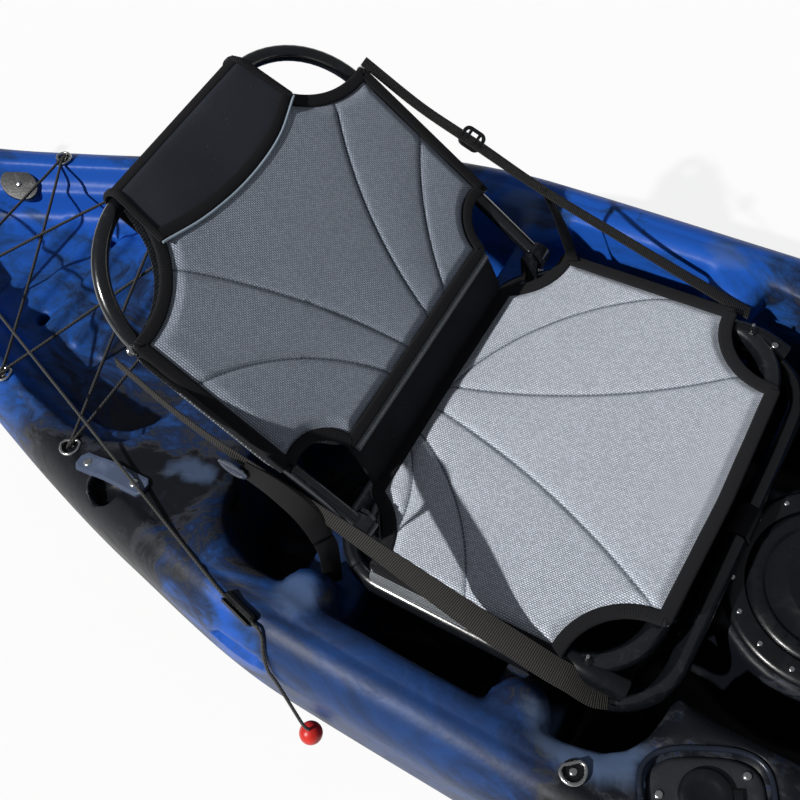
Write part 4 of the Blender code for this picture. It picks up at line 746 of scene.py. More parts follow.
# %% Hull skin
VOXEL = 0.0054
NEAR_SKIN = 0.008
SAME_POINT = 0.00002
MOUTH_TOP, MOUTH_FOOT, MOUTH_WALL, MOUTH_EDGE = 0.004, -0.035, 0.0016, 0.003
ROD_X, ROD_Y, ROD_Z = -0.197, 0.290, 0.306
MOUTHS = (  # centre, radius, and the steps down to the pocket's foot
    ((-0.156, 0.0, 0.235), 0.098, ((0, 0, -0.14),)),
    ((1.765, 0.0, 0.3482), 0.0784, ((0, 0, -0.14),)),
    *(((ROD_X, y, ROD_Z), 0.0255, ((0, 0, -0.026), (0.070, 0, -0.136))) for y in (ROD_Y, -ROD_Y)),
)


def outer_skin():
    """The hull's outside alone: faces reached from the keel without going through a mouth."""
    bm = bmesh.new()
    bm.from_mesh(NODES["hull"].data)
    bmesh.ops.remove_doubles(bm, verts=bm.verts, dist=SAME_POINT)
    rim_faces = set()
    for centre, radius, _ in MOUTHS:
        centre = Vector(centre)
        for face in bm.faces:
            off = [v.co - centre for v in face.verts]
            level = max(d.z for d in off) < MOUTH_TOP and min(d.z for d in off) > MOUTH_FOOT
            steep = abs(face.normal.z) < 0.5
            if level and steep and all(abs(d.xy.length - radius) < MOUTH_WALL for d in off):
                rim_faces.add(face)
    start = min(bm.faces, key=lambda f: f.calc_center_median().z)
    reached, edge = {start}, [start]
    while edge:
        face = edge.pop()
        for line in face.edges:
            for other in line.link_faces:
                if other not in reached and other not in rim_faces:
                    reached.add(other)
                    edge.append(other)
    print("hull faces kept", len(reached), "of", len(bm.faces), "mouth walls", len(rim_faces))
    bmesh.ops.delete(bm, geom=[f for f in bm.faces if f not in reached], context="FACES")
    for centre, radius, steps in MOUTHS:
        centre = Vector(centre)
        rim = [e for e in bm.edges if e.is_boundary
               and all(abs((v.co - centre).xy.length - radius) < MOUTH_EDGE for v in e.verts)]
        for step in steps:
            made = bmesh.ops.extrude_edge_only(bm, edges=rim)["geom"]
            verts = [g for g in made if isinstance(g, bmesh.types.BMVert)]
            bmesh.ops.translate(bm, vec=Vector(step), verts=verts)
            fresh = set(verts)
            rim = [g for g in made if isinstance(g, bmesh.types.BMEdge) and all(v in fresh for v in g.verts)]
        bmesh.ops.contextual_create(bm, geom=rim)
    bmesh.ops.recalc_face_normals(bm, faces=bm.faces)
    open_edges = sum(1 for e in bm.edges if e.is_boundary)
    mesh = bpy.data.meshes.new("hull_skin")
    bm.to_mesh(mesh)
    bm.free()
    print("open edges left", open_edges)
    made = bpy.data.objects.new("hull_skin", mesh)
    scene.collection.objects.link(made)
    return made


def drawn_to_sections(mesh):
    """Moves points of the outside onto the exact section curves."""
    flat = np.empty(len(mesh.vertices) * 3)
    mesh.vertices.foreach_get("co", flat)
    points = flat.reshape(-1, 3)
    station = points[:, 0] + MIDDLE
    y, z = np.abs(points[:, 1]), points[:, 2]
    beam = smooth_table(HALF_BEAM, station)
    top = smooth_table(SHEER, station)
    low = smooth_table(KEEL, station)
    full = smooth_table(FULLNESS, station)
    drop = np.minimum(SHOULDER_DROP, 0.4 * (top - low))
    wide = top - drop
    shoulder = np.minimum(SHOULDER_WIDTH, 0.6 * beam)
    chine = CHINE_SOFT + CHINE_MORE * full
    out = y / beam
    bump = np.exp(-(((out - TUNNEL_AT) / TUNNEL_HALF) ** 2))
    hollow = TUNNEL_DEPTH * full * np.maximum(0, bump - TUNNEL_CUT)
    down = np.maximum(wide - (z - hollow), 0) / (wide - low)
    reach = np.maximum((out**chine + down**chine) ** (1 / chine), 1e-6)
    below = (z < wide) & (np.abs(reach - 1) * np.minimum(beam, wide - low) < NEAR_SKIN)
    over = np.maximum(y - (beam - shoulder), 0) / shoulder
    rise = np.maximum(z - wide, 0) / drop
    turn = np.maximum((over**SHOULDER_POWER + rise**SHOULDER_POWER) ** (1 / SHOULDER_POWER), 1e-6)
    above = (z >= wide) & (over > SHOULDER_START) & (np.abs(turn - 1) * shoulder < NEAR_SKIN)
    inside = (station > END_MARGIN) & (station < HULL_LENGTH - END_MARGIN)
    fresh_y, fresh_z = y.copy(), z.copy()
    fresh_y[below] = (y / reach)[below]
    fresh_z[below] = (wide - down * (wide - low) / reach + hollow)[below]
    fresh_y[above] = (beam - shoulder + over * shoulder / turn)[above]
    fresh_z[above] = (wide + rise * drop / turn)[above]
    keep = inside & (below | above)
    points[keep, 1] = (np.sign(points[:, 1]) * fresh_y)[keep]
    points[keep, 2] = fresh_z[keep]
    mesh.vertices.foreach_set("co", points.ravel())
    mesh.update()
    print("points drawn to the sections", int(keep.sum()), "of", len(points))


def softened(piece, rounds):
    step = piece.modifiers.new("soften", "SMOOTH")
    step.factor = 0.5
    step.iterations = rounds
    bake_modifiers(piece)


def hull_piece():
    skin = outer_skin()
    step = skin.modifiers.new("even", "REMESH")
    step.mode = "VOXEL"
    step.voxel_size = VOXEL
    softened(skin, 2)
    drawn_to_sections(skin.data)
    softened(skin, 1)
    skin.data.shade_smooth()
    settle(skin, "hull", "boat", "hull")
    print("hull faces", len(skin.data.polygons))


hull_piece()

# %% [markdown]
# The seats. A pan of bent tube stands on a lower frame, and the back's tube turns on two pins. Both
# seats are the same, so every function takes the word rear or front.

# %% Seat places
SEAT_X = {"rear": -0.625, "front": 0.645}
SEAT_Z = 0.320
PAN_TILT = math.radians(1.4)
BACK_LEAN = math.radians(48.6)
HINGE = Vector((-0.001, 0, 0.026))
BACK_UP = Vector((-math.sin(BACK_LEAN), 0, math.cos(BACK_LEAN)))
BACK_FRONT = Vector((math.cos(BACK_LEAN), 0, math.sin(BACK_LEAN)))
TUBE, BACK_TUBE = 0.012, 0.009
PAN_LOW, PAN_BACK, PAN_FRONT, PAN_SIDE = -0.014, -0.010, 0.322, 0.233
BASE_LOW, BASE_BACK, BASE_FRONT, BASE_SIDE = -0.052, -0.045, 0.355, 0.240
BACK_SIDE, BACK_MIDDLE = 0.2125, 0.24


def seat_point(which, x, y, z):
    return Vector((SEAT_X[which] + x, y, SEAT_Z + z))


def pan_point(which, x, y, h):
    """A place on the pan, which rises a little towards the knees."""
    return seat_point(which, x, y, h + x * math.tan(PAN_TILT))


def back_point(which, along, y, proud):
    """A place on the backrest: up it from the hinge, across, and proud of its tubes' middle."""
    return seat_point(which, *(HINGE + Vector((0, y, 0)) + BACK_UP * along + BACK_FRONT * proud))


# %% Bent tubes
def rounded_loop(x0, x1, half, radius, steps=14):
    corners = ((x1 - radius, half - radius), (x0 + radius, half - radius),
               (x0 + radius, radius - half), (x1 - radius, radius - half))
    bends = [[polar(radius, math.pi / 2 * (q + k / steps)) for k in range(steps + 1)] for q in range(4)]
    return [(cx + x, cy + y) for (cx, cy), bend in zip(corners, bends) for x, y in bend]


def capsule(name, start, end, radius):
    start, end = Vector(start), Vector(end)
    return swept(name, [start.lerp(end, t) for t in (0, 0.02, 0.98, 1)], round_outline(radius, 24))


def seat_tubes(which):
    def loop(name, place, height, *corners):
        path = [place(which, x, y, height) for x, y in rounded_loop(*corners)]
        return swept(name, path, round_outline(TUBE, 24), UP, True)

    base = [loop("base", seat_point, BASE_LOW, BASE_BACK, BASE_FRONT, BASE_SIDE, 0.070)]
    pan = [loop("pan", pan_point, PAN_LOW, PAN_BACK, PAN_FRONT, PAN_SIDE, 0.080)]
    for x in (0.075, 0.250):
        for side in (-1, 1):
            base.append(capsule("post", seat_point(which, x, side * 0.237, -0.045),
                                pan_point(which, x, side * 0.237, -0.0265), 0.0075))
    ear = ((-0.011, -0.029), (0.011, -0.029), (0.011, 0.018), (0.004, 0.029), (-0.004, 0.029),
           (-0.011, 0.018))
    for side in (-1, 1):
        points = [seat_point(which, HINGE.x - 0.004 + x, side * 0.199 + face * 0.00225, 0.010 + z)
                  for face in (-1, 1) for x, z in ear]
        pan.append(from_faces("ear", points, ring_faces(2, len(ear), False, True)))
        ends = [seat_point(which, HINGE.x, side * y, HINGE.z) for y in (0.198, 0.2232)]
        pan.append(capsule("pin", *ends, 0.004))
    bend, half = 0.115, BACK_SIDE
    top = TOP_U - bend
    leg = [(0.010 + (top - 0.010) * k / 8, half) for k in range(8)]
    for k in range(17):
        y, u = polar(bend, math.pi / 2 * k / 16)
        leg.append((top + u, half - bend + y))
    line = [back_point(which, u, y, 0) for u, y in leg + [(u, -y) for u, y in leg[::-1]]]
    back = [swept("back", line, round_outline(BACK_TUBE, 24), BACK_FRONT)]
    for side in (-1, 1):
        place = back_point(which, 0, side * 0.21175, 0)
        back.append(turned("eye", [(0.015, -0.00825), (0.015, 0.00825)], place, 32, (0, 1, 0)))
    for word, pieces, body in (("base", base, "boat"), ("pan", pan, "boat"), ("back", back, f"{which}_back")):
        settle(joined(f"{which}_{word}_tubes", pieces), "tube", body, f"{which}_{word}_frame")


# %% [markdown]
# A sewn panel is two layers of cloth over thin foam. The stitched seams pull it down in narrow
# valleys, and the foam swells between them. Each seam is nearly an arc, so a circle through its
# measured points gives the distance from any place to the seam, and the distance gives the height.


# %% Panel outlines and seams
def fitted_circle(points):
    """Centre and radius of the circle that lies closest to the points."""
    x, y = np.array(points).T
    rows = np.column_stack([2 * x, 2 * y, np.ones_like(x)])
    a, b, c = np.linalg.lstsq(rows, x**2 + y**2, rcond=None)[0]
    return a, b, math.sqrt(c + a * a + b * b)


def arc(start, through, end, steps):
    """Points on the circle through three places, without the last one."""
    cx, cy, r = fitted_circle([start, through, end])
    first, middle, last = (math.atan2(p[1] - cy, p[0] - cx) for p in (start, through, end))
    swing = (last - first) % math.tau
    if (middle - first) % math.tau > swing:
        swing -= math.tau
    spokes = [polar(r, first + swing * k / steps) for k in range(steps)]
    return [(cx + x, cy + y) for x, y in spokes]


def straight(start, end, steps):
    return [(start[0] + (end[0] - start[0]) * k / steps, start[1] + (end[1] - start[1]) * k / steps)
            for k in range(steps)]


def even_outline(half, spacing, soften):
    """A closed outline from its port half: evenly spaced, with its corners eased."""
    points = half + [(x, -y) for x, y in half[::-1] if abs(y) > 1e-6]
    xy = np.array(points + points[:1])
    run = np.concatenate([[0], np.cumsum(np.hypot(*np.diff(xy, axis=0).T))])
    count = int(run[-1] / spacing)
    at = np.arange(count) * run[-1] / count
    even = np.column_stack([np.interp(at, run, xy[:, 0]), np.interp(at, run, xy[:, 1])])
    for _ in range(soften):
        even = (np.roll(even, 1, 0) + 2 * even + np.roll(even, -1, 0)) / 4
    return [tuple(p) for p in even]


PAN_HALF = (straight((0.338, 0.0), (0.334, 0.161), 12)
            + arc((0.334, 0.161), (0.272, 0.184), (0.252, 0.245), 16)
            + straight((0.252, 0.245), (0.021, 0.245), 16)
            + arc((0.021, 0.245), (0.010, 0.192), (-0.026, 0.165), 12)
            + straight((-0.026, 0.165), (-0.028, 0.0), 12) + [(-0.028, 0.0)])
BACK_HALF = (straight((0.064, 0.0), (0.064, 0.156), 10)
             + arc((0.064, 0.156), (0.102, 0.172), (0.103, 0.222), 12)
             + straight((0.103, 0.222), (0.318, 0.222), 16)
             + arc((0.318, 0.222), (0.350, 0.132), (0.424, 0.106), 20)
             + straight((0.424, 0.106), (0.4265, 0.0), 8) + [(0.4265, 0.0)])
PAN_SEAMS = (
    ((-0.019, -0.012), (0.016, 0.077), (0.082, 0.145), (0.132, 0.215)),
    ((-0.019, -0.012), (0.042, 0.027), (0.127, 0.059), (0.205, 0.097), (0.295, 0.155)),
    ((-0.008, -0.034), (0.07, -0.049), (0.155, -0.075), (0.235, -0.11), (0.306, -0.143)),
    ((-0.006, -0.074), (0.05, -0.113), (0.108, -0.179), (0.128, -0.216)),
    ((-0.002, -0.107), (0.017, -0.144), (0.027, -0.182), (0.028, -0.21)),
)
BACK_SEAMS = (
    ((0.337, -0.132), (0.157, -0.04), (0.038, -0.007)),
    ((0.325, 0.17), (0.265, 0.115), (0.213, 0.082), (0.151, 0.058), (0.062, 0.027)),
    ((0.228, 0.236), (0.203, 0.192), (0.153, 0.131), (0.104, 0.089), (0.064, 0.062)),
    ((0.244, -0.214), (0.208, -0.156), (0.167, -0.109), (0.057, -0.049)),
)
SEAM_DEPTH, SEAM_WIDTH, SWELL, SWELL_REACH = 0.0026, 0.0026, 0.0022, 0.022


def seam_height(circles, a, b):
    """How far the cloth stands over its flat face at a place."""
    near = min(abs(math.hypot(a - cx, b - cy) - r) for cx, cy, r in circles)
    return SWELL * (1 - math.exp(-near / SWELL_REACH)) - SEAM_DEPTH * math.exp(-((near / SEAM_WIDTH) ** 2))


# %% Panels
PRESSED, PRESSED_WIDTH, FULL_BY = 0.0034, 0.0115, 0.026
BINDING_THICK = 0.0062
UNDER_SHARES, TOP_RINGS = (0.02, 0.3, 0.65, 0.985), 84
PIPING_ARC = ((0.3605, -0.116), (0.3435, -0.060), (0.335, 0.004), (0.3385, 0.068), (0.3555, 0.123))
ARC_Y = [y for _, y in PIPING_ARC]
ARC_U = [u for u, _ in PIPING_ARC]


def eased(value, low, high):
    t = np.clip((np.asarray(value) - low) / (high - low), 0, 1)
    return t * t * (3 - 2 * t)


def panel_mesh(name, half, centre, place, circles, low, high, look, under):
    """Top and underside of a panel as one closed mesh. under says where another piece presses it flat."""
    outline = even_outline(half, 0.0045, 2)
    rim = np.array(outline)
    n = len(outline)
    layers = [(share, False) for share in UNDER_SHARES]
    layers += [(1 - k / TOP_RINGS, True) for k in range(TOP_RINGS)]
    points, flat = [], []
    for share, top in layers:
        spots = np.column_stack([centre + (rim[:, 0] - centre) * share, rim[:, 1] * share])
        gaps = np.linalg.norm(spots[:, None] - rim[None], axis=2).min(1)
        rise = eased(gaps, PRESSED_WIDTH, FULL_BY)
        if under is not None:
            rise = rise * (1 - under(spots[:, 0], spots[:, 1]))
        for (x, y), share_up in zip(spots, rise):
            height = low
            if top:
                height = low + PRESSED + (high - low - PRESSED + seam_height(circles, x, y)) * share_up
            points.append(place(x, y, height))
            flat.append((x, y))
    faces = ring_faces(len(layers), n, False, True)
    made = from_faces(name, points, faces, [[flat[v] for v in face] for face in faces], CLOTH_SOFT)
    made.data.materials.append(LOOKS[look])
    made.data.materials.append(LOOKS["cloth"])
    for face in made.data.polygons[:len(UNDER_SHARES) * n]:
        face.material_index = 1
    made.data.polygons[len(faces) - 2].material_index = 1
    return made, outline


def bound_edge(name, outline, place, height, inset, body, width):
    """Binding tape folded over a panel's rim."""
    xy = np.array(outline)
    run = np.roll(xy, -1, 0) - np.roll(xy, 1, 0)
    run /= np.hypot(*run.T)[:, None]
    outward = np.column_stack([run[:, 1], -run[:, 0]])
    middle = xy.mean(0)
    if np.sum((xy - middle) * outward) < 0:
        outward = -outward
    path = xy - outward * inset
    for _ in range(3):
        path = (np.roll(path, 1, 0) + 2 * path + np.roll(path, -1, 0)) / 4
    line = [place(x, y, height) for x, y in path]
    normal = (place(0, 0, 1) - place(0, 0, 0)).normalized()
    settle(swept(name, line, flat_outline(width, BINDING_THICK, 6), normal, True), "binding", body)


def under_pad(u, y):
    """1 where the head pad's sleeve lies over the back panel."""
    return eased(u - np.interp(y, ARC_Y, ARC_U), -0.004, 0.006)


PAN_CIRCLES = [fitted_circle(points) for points in PAN_SEAMS]
BACK_CIRCLES = [fitted_circle(points) for points in BACK_SEAMS]
LOOKS["pan_mesh"] = spacer_mesh("pan_spacer_mesh", MESH_PALE, MESH_DEEP, PAN_CIRCLES)
# The back's darker copy of the mesh is painted shade.
LOOKS["back_mesh"] = spacer_mesh("shaded_back_spacer_mesh", SHADED_BACK_PALE, SHADED_BACK_DEEP, BACK_CIRCLES)


def seat_panels(which):
    def on_pan(x, y, h):
        return pan_point(which, x, y, h)

    def on_back(u, y, proud):
        return back_point(which, u, y, proud)

    panels = (
        ("pan", "boat", on_pan, PAN_HALF, 0.15, PAN_CIRCLES, -0.0012, 0.0080, None, 0.0034, 0.0070, 0.0165),
        ("back", f"{which}_back", on_back, BACK_HALF, BACK_MIDDLE, BACK_CIRCLES, 0.0094, 0.0180, under_pad,
         0.0138, 0.0062, 0.0145),
    )
    for word, body, place, half, centre, circles, low, high, under, edge_height, inset, width in panels:
        panel, outline = panel_mesh(f"{which}_{word}_panel", half, centre, place, circles, low, high,
                                    f"{word}_mesh", under)
        settle(panel, None, body, f"{which}_{word}_cover")
        bound_edge(f"{which}_{word}_binding", outline, place, edge_height, inset, body, width)


# %% [markdown]
# The head pad is a neoprene sleeve over the top of the back's tube, bound in tape and piped in grey
# where it meets the mesh. It is one sheet wrapped from the front, over the tube, to the back.

# %% Head pad
PAD_PROUD, PAD_HALF = 0.0205, 0.110
TOP_U, TOP_MIDDLE, TOP_ROUND, TOP_HIGH = 0.4180, 0.0035, 0.0140, 0.0170


def wrapped(u_low):
    """Path of the sleeve in (along, proud): up the front, round the tube and down behind."""
    line = [(u_low + (TOP_U - u_low) * k / 10, PAD_PROUD) for k in range(11)]
    for k in range(1, 12):
        a = math.pi / 2 - math.pi * k / 12
        line.append((TOP_U + TOP_ROUND * math.cos(a), TOP_MIDDLE + TOP_HIGH * math.sin(a)))
    return line + [(TOP_U - (TOP_U - 0.356) * k / 6, TOP_MIDDLE - TOP_HIGH) for k in range(7)]


def head_pad(which):
    back = f"{which}_back"
    seam = curved([Vector((u, y, 0)) for u, y in PIPING_ARC], 0.004)
    us = [p.x for p in seam]
    ys = [p.y for p in seam]
    columns = 60
    points, flat = [], []
    for i in range(columns + 1):
        share = i / columns
        y_low = ys[0] + (ys[-1] - ys[0]) * share
        line = wrapped(float(np.interp(y_low, ys, us)) + 0.001)
        for j, (u, proud) in enumerate(line):
            t = min(1.0, j / 12)
            y = y_low * (1 - t) + (-PAD_HALF + 2 * PAD_HALF * share) * t
            puff = 0.0022 * math.sin(math.pi * share) ** 0.5 * math.sin(math.pi * t) ** 0.6
            points.append(back_point(which, u, y, proud + puff))
            flat.append((y, u))
    rows = len(line)
    pad = cloth(f"{which}_neoprene_pad", points, sheet_faces(columns + 1, rows), flat, 0.0022, -1)
    settle(pad, "neoprene", back, f"{which}_head_pad")
    arc = [back_point(which, p.x - 0.0012, p.y, PAD_PROUD + 0.0010) for p in seam]
    settle(swept(f"{which}_piping", arc, round_outline(0.0015, 10)), "piping", back)
    hem = [back_point(which, p.x + 0.0070, p.y * 0.985, PAD_PROUD + 0.0012) for p in seam]
    bands = [swept("band", hem, flat_outline(0.0120, 0.0028), BACK_FRONT)]
    for column, inward in ((0, 0.003), (columns, -0.003)):
        edge = points[column * rows:(column + 1) * rows]
        runs = [edge[min(j + 1, rows - 1)] - edge[max(j - 1, 0)] for j in range(rows)]
        ups = [run.cross(ACROSS).normalized() for run in runs]
        edge = [p + Vector((0, inward, 0)) for p in edge]
        bands.append(swept("band", edge, flat_outline(0.0100, 0.0056), ups))
    across = [-PAD_HALF + 2 * PAD_HALF * i / columns for i in range(columns + 1)]
    top = [back_point(which, TOP_U + 0.0095, y, 0.0168) for y in across]
    normal = (BACK_UP * 0.62 + BACK_FRONT).normalized()
    bands.append(swept("band", top, flat_outline(0.0100, 0.0030), normal))
    settle(joined(f"{which}_pad_binding", bands), "binding", back)


# %% [markdown]
# A black cloth closes the gap between pan and back. It rides on no body, and its points are set from
# the pan at one edge to the back at the other. The cloth sleeves on the tubes ride with their tube.

# %% Hinge cloth and sleeves
FLAP_HALF, FOLD_HALF = 0.156, 0.150


def hinge_cloth(which):
    columns, steps = 52, 10
    sag = Vector((0.004, 0, -0.006))
    points, flat = [], []
    for i in range(columns + 1):
        y = -FLAP_HALF + 2 * FLAP_HALF * i / columns
        low = pan_point(which, -0.024, y, 0.0030)
        high = back_point(which, 0.068, y, 0.0110)
        for j in range(steps + 1):
            t = j / steps
            points.append(low.lerp(high, t) + sag * math.sin(math.pi * t))
            flat.append((i * 0.006, (high - low).length * t))
    flap = cloth(f"{which}_hinge_cloth", points, sheet_faces(columns + 1, steps + 1), flat, 0.0016, 0)
    settle(flap, "cloth", None)
    tuple(pan_point(which, -0.018, 0, 0.004))
    tuple(back_point(which, 0.060, 0, 0.010))
    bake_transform(flap)
    fold = [back_point(which, 0.0600, FOLD_HALF * (k / 30 - 1), 0.0120) for k in range(61)]
    fold = swept(f"{which}_lower_fold", fold, flat_outline(0.0100, 0.0050), BACK_FRONT)
    settle(fold, "shaded_mesh_fold", f"{which}_back")


def sleeves(which):
    def sleeve(place, start, end, radius=TUBE, up=UP):
        """Cloth round a straight run of tube."""
        path = [place(which, *Vector(start).lerp(Vector(end), k / 20)) for k in range(21)]
        return swept("sleeve", path, round_outline(radius + 0.0016, 28), up)

    pan = [sleeve(pan_point, (x, -0.140, PAN_LOW), (x, 0.140, PAN_LOW)) for x in (PAN_FRONT, PAN_BACK)]
    pan += [sleeve(pan_point, (0.036, y, PAN_LOW), (0.236, y, PAN_LOW)) for y in (-PAN_SIDE, PAN_SIDE)]
    ends = [(BASE_FRONT, y, BASE_LOW) for y in (-0.006, 0.034)]
    pan.append(sleeve(seat_point, *ends, TUBE + 0.0012))
    settle(joined(f"{which}_pan_sleeves", pan), "cloth", "boat")
    legs = [sleeve(back_point, (0.112, y, 0), (0.307, y, 0), BACK_TUBE, BACK_FRONT)
            for y in (-BACK_SIDE, BACK_SIDE)]
    settle(joined(f"{which}_back_sleeves", legs), "cloth", f"{which}_back")
    rear = even_outline(BACK_HALF, 0.012, 3)
    shares = (0.0, 0.35, 0.7, 0.93, 1.0)
    points = [back_point(which, BACK_MIDDLE + (a - BACK_MIDDLE) * share * 0.985, b * share, -0.0105)
              for share in shares for a, b in rear]
    sheet = cloth(f"{which}_rear_sheet", points, ring_faces(len(shares), len(rear)),
                  [(p.y, p.z) for p in points], 0.0014, 0, True)
    settle(sheet, "shaded_mesh_fold", f"{which}_back")


# %% [markdown]
# Straps hold each back up. The webbing is 28 mm wide with ribs across it, and stands on its edge near
# the back. The starboard strap goes down past its slider to the elbow at the pan's front corner, and
# its spare end hangs from the slider. The port strap is turned 30 degrees from flat all the way.

# %% Straps
STRAP_WIDTH, STRAP_THICK = 0.028, 0.0018


def strap(name, route, twists, width, thick):
    """Webbing along a route. A twist of 0 lies flat, and a right angle stands on edge."""
    path = curved(route, 0.006)
    turns = np.interp(np.linspace(0, 1, len(path)), np.linspace(0, 1, len(twists)), np.radians(twists))
    ups = []
    for i, turn in enumerate(turns):
        run = (path[min(i + 1, len(path) - 1)] - path[max(i - 1, 0)]).normalized()
        across = (ACROSS - run * ACROSS.dot(run)).normalized()
        normal = run.cross(across).normalized()
        if normal.z < 0:
            normal = -normal
        ups.append(Matrix.Rotation(turn, 3, run) @ normal)
    return swept(name, path, flat_outline(width, thick, 4), ups)


def ladder_lock(name, centre, along, normal, size, body, node):
    """A moulded slider: a rounded frame with two cross bars for the webbing."""
    along = along.normalized()
    side = along.cross(normal).normalized()
    normal = side.cross(along).normalized()
    long, wide = size[0] / 2, size[1] / 2
    rim = [centre + along * x + side * y for x, y in rounded_loop(-long, long, wide, 0.006, 6)]
    bars = [swept("rim", rim, flat_outline(0.0050, 0.0042, 4), normal, True)]
    for x in (-0.006, 0.006):
        ends = [centre + along * x + side * (wide * k / 2) + normal * 0.0004 for k in range(-2, 3)]
        bars.append(swept("bar", ends, round_outline(0.0020, 10), normal))
    settle(joined(name, bars), "black", body, node)


def seat_straps(which):
    back = f"{which}_back"

    def ribbon(name, look, nodes, route, twists, size=(STRAP_WIDTH, STRAP_THICK),
               start=(0.15, 0, 0.05), end=(0.02, 0, 0.13)):
        """Webbing along a route, on no body; the places at start and end are worked out but not used."""
        piece = strap(f"{which}_{name}", [seat_point(which, *p) for p in route], twists, *size)
        settle(piece, look, None, *nodes)
        tuple(seat_point(which, *start))
        tuple(seat_point(which, *end))
        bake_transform(piece)

    ribbon("starboard_webbing", "webbing", [f"{which}_strap_starboard"], (
        (-0.2395, -0.2400, 0.2363), (-0.165, -0.2500, 0.204), (-0.090, -0.2530, 0.170),
        (-0.008, -0.2520, 0.129), (0.062, -0.2525, 0.096), (0.120, -0.2530, 0.066), (0.165, -0.2530, 0.043),
        (0.240, -0.2530, 0.0130), (0.268, -0.2510, 0.0000), (0.292, -0.2480, -0.0190),
        (0.306, -0.2400, -0.0300)),
        (96, 96, 94, 86, 78, 66, 50, 28, 12, 4))
    outward = Vector((0, -1, 0))
    slider = seat_point(which, -0.098, -0.2590, 0.1680) + outward * 0.0045
    bends = [polar(0.0150, math.radians(160 + 208 * k / 20)) for k in range(21)]
    bends = [slider + Vector((x, 0, z)) for x, z in bends]
    loop = swept("loop", bends, flat_outline(0.0060, 0.0030), outward, True)
    disc = ((0.0135, -0.0008), (0.0138, 0.0), (0.0135, 0.0008))
    disc = turned("disc", disc, slider - UP * 0.0020, 28, outward)
    settle(joined(f"{which}_starboard_slider", [loop, disc]), "slider", back, f"{which}_buckle_starboard")
    ribbon("spare_end", "tail", [], (
        (-0.086, -0.2590, 0.1660), (-0.045, -0.2620, 0.1610), (-0.014, -0.2640, 0.1330),
        (-0.008, -0.2620, 0.0700), (-0.018, -0.2590, 0.0100), (-0.024, -0.2600, -0.0300),
        (-0.027, -0.2620, -0.0560)),
        (70, 50, 36, 32, 32, 34, 34), (0.0235, 0.0015), (-0.02, 0, -0.05), (-0.06, 0, 0.16))
    ribbon("port_webbing", "webbing", [f"{which}_strap_port"], (
        (-0.2395, 0.2400, 0.2363), (-0.170, 0.2440, 0.186), (-0.104, 0.2480, 0.150), (-0.009, 0.2535, 0.098),
        (0.090, 0.2590, 0.054), (0.180, 0.2605, 0.020), (0.262, 0.2605, -0.008)),
        (-30, -30, -28, -32, -30, -28, -24))
    ladder_lock(f"{which}_port_slider", seat_point(which, -0.104, 0.2490, 0.1530),
                Vector((0.88, 0.05, -0.47)), Vector((0.2, -0.35, 0.9)), (0.026, 0.022), back,
                f"{which}_buckle_port")
    ribbon("port_spare", "tail", [], (
        (-0.009, 0.2510, 0.1010), (0.004, 0.2500, 0.0780), (0.020, 0.2470, 0.0420), (0.031, 0.2430, 0.0150),
        (0.037, 0.2320, 0.0125)), (-20, -15, 0, 10, 0), (0.017, 0.0015))


# %% [markdown]
# Below the near strap the mesh is folded round the pan's side tube and hemmed. At the front corner a
# glossy elbow joins the strap to the tube, with a bolt through it.

# %% Skirt and elbow
SKIRT_REACH = 0.0162


def seat_corner(which):
    def on_side_tube(x, reach, angle):
        y, z = polar(reach, angle)
        return pan_point(which, x, y - PAN_SIDE, z + PAN_LOW)

    run = [0.024 + 0.142 * k / 30 for k in range(31)]
    wrap = [math.radians(100 + 110 * k / 12) for k in range(13)]
    points = [on_side_tube(x, SKIRT_REACH, a) for x in run for a in wrap]
    flat = [(x, SKIRT_REACH * a) for x in run for a in wrap]
    skirt = cloth(f"{which}_mesh_skirt", points, sheet_faces(len(run), len(wrap)), flat, 0.0014, 1)
    # The skirt's dark mesh is painted shade under the pan's edge.
    settle(skirt, "shaded_mesh_fold", "boat")
    hem = [on_side_tube(x, SKIRT_REACH + 0.001, wrap[-1]) for x in run]
    settle(swept(f"{which}_skirt_hem", hem, round_outline(0.0013, 8)), "mesh", "boat")
    for word, side in SIDES:
        line = curved([seat_point(which, *p) for p in (
            (0.250, side * 0.2300, -0.010), (0.268, side * 0.2310, -0.0085), (0.292, side * 0.2310, -0.0120),
            (0.318, side * 0.2290, -0.0220))], 0.004)
        elbow = swept("elbow", line, round_outline(0.0140, 20))
        nut, stud = [seat_point(which, 0.276, side * 0.2270, z) for z in (0.0030, 0.0060)]
        nut = turned("nut", [(0.0062, 0.0), (0.0062, 0.0030), (0.0048, 0.0042)], nut, 6)
        settle(joined(f"{which}_{word}_elbow", [elbow, nut]), "black", "boat")
        stud = turned(f"{which}_{word}_stud", [(0.0026, 0.0), (0.0026, 0.0120), (0.0018, 0.0130)], stud, 12)
        settle(stud, "steel", "boat")


# %% Both seats
for which in SEAT_X:
    seat_tubes(which)
    seat_panels(which)
    head_pad(which)
    hinge_cloth(which)
    sleeves(which)
    seat_straps(which)
    seat_corner(which)
    bolts = [(seat_point(which, x, y, z), (0, 0, 1)) for x, y, z in (
        (-0.019, 0.256, -0.062), (0.306, 0.223, -0.001))]
    screws(f"{which}_seat_screws", bolts, 0.0045, "boat")
    pivots = [(back_point(which, 0.3135, side * 0.2225, 0.0060), BACK_FRONT) for side in (-1, 1)]
    screws(f"{which}_strap_bolts", pivots, 0.0052, f"{which}_back")

# %% [markdown]
# Deck fittings. Round plates and rod holders are turned or lofted again with many sides, because a
# coarse circle shows at once on a gloss surface. Screws hold every fitting down.

# %% Hatches
RING, LID, MOUTH = 0.122, 0.0955, 0.086


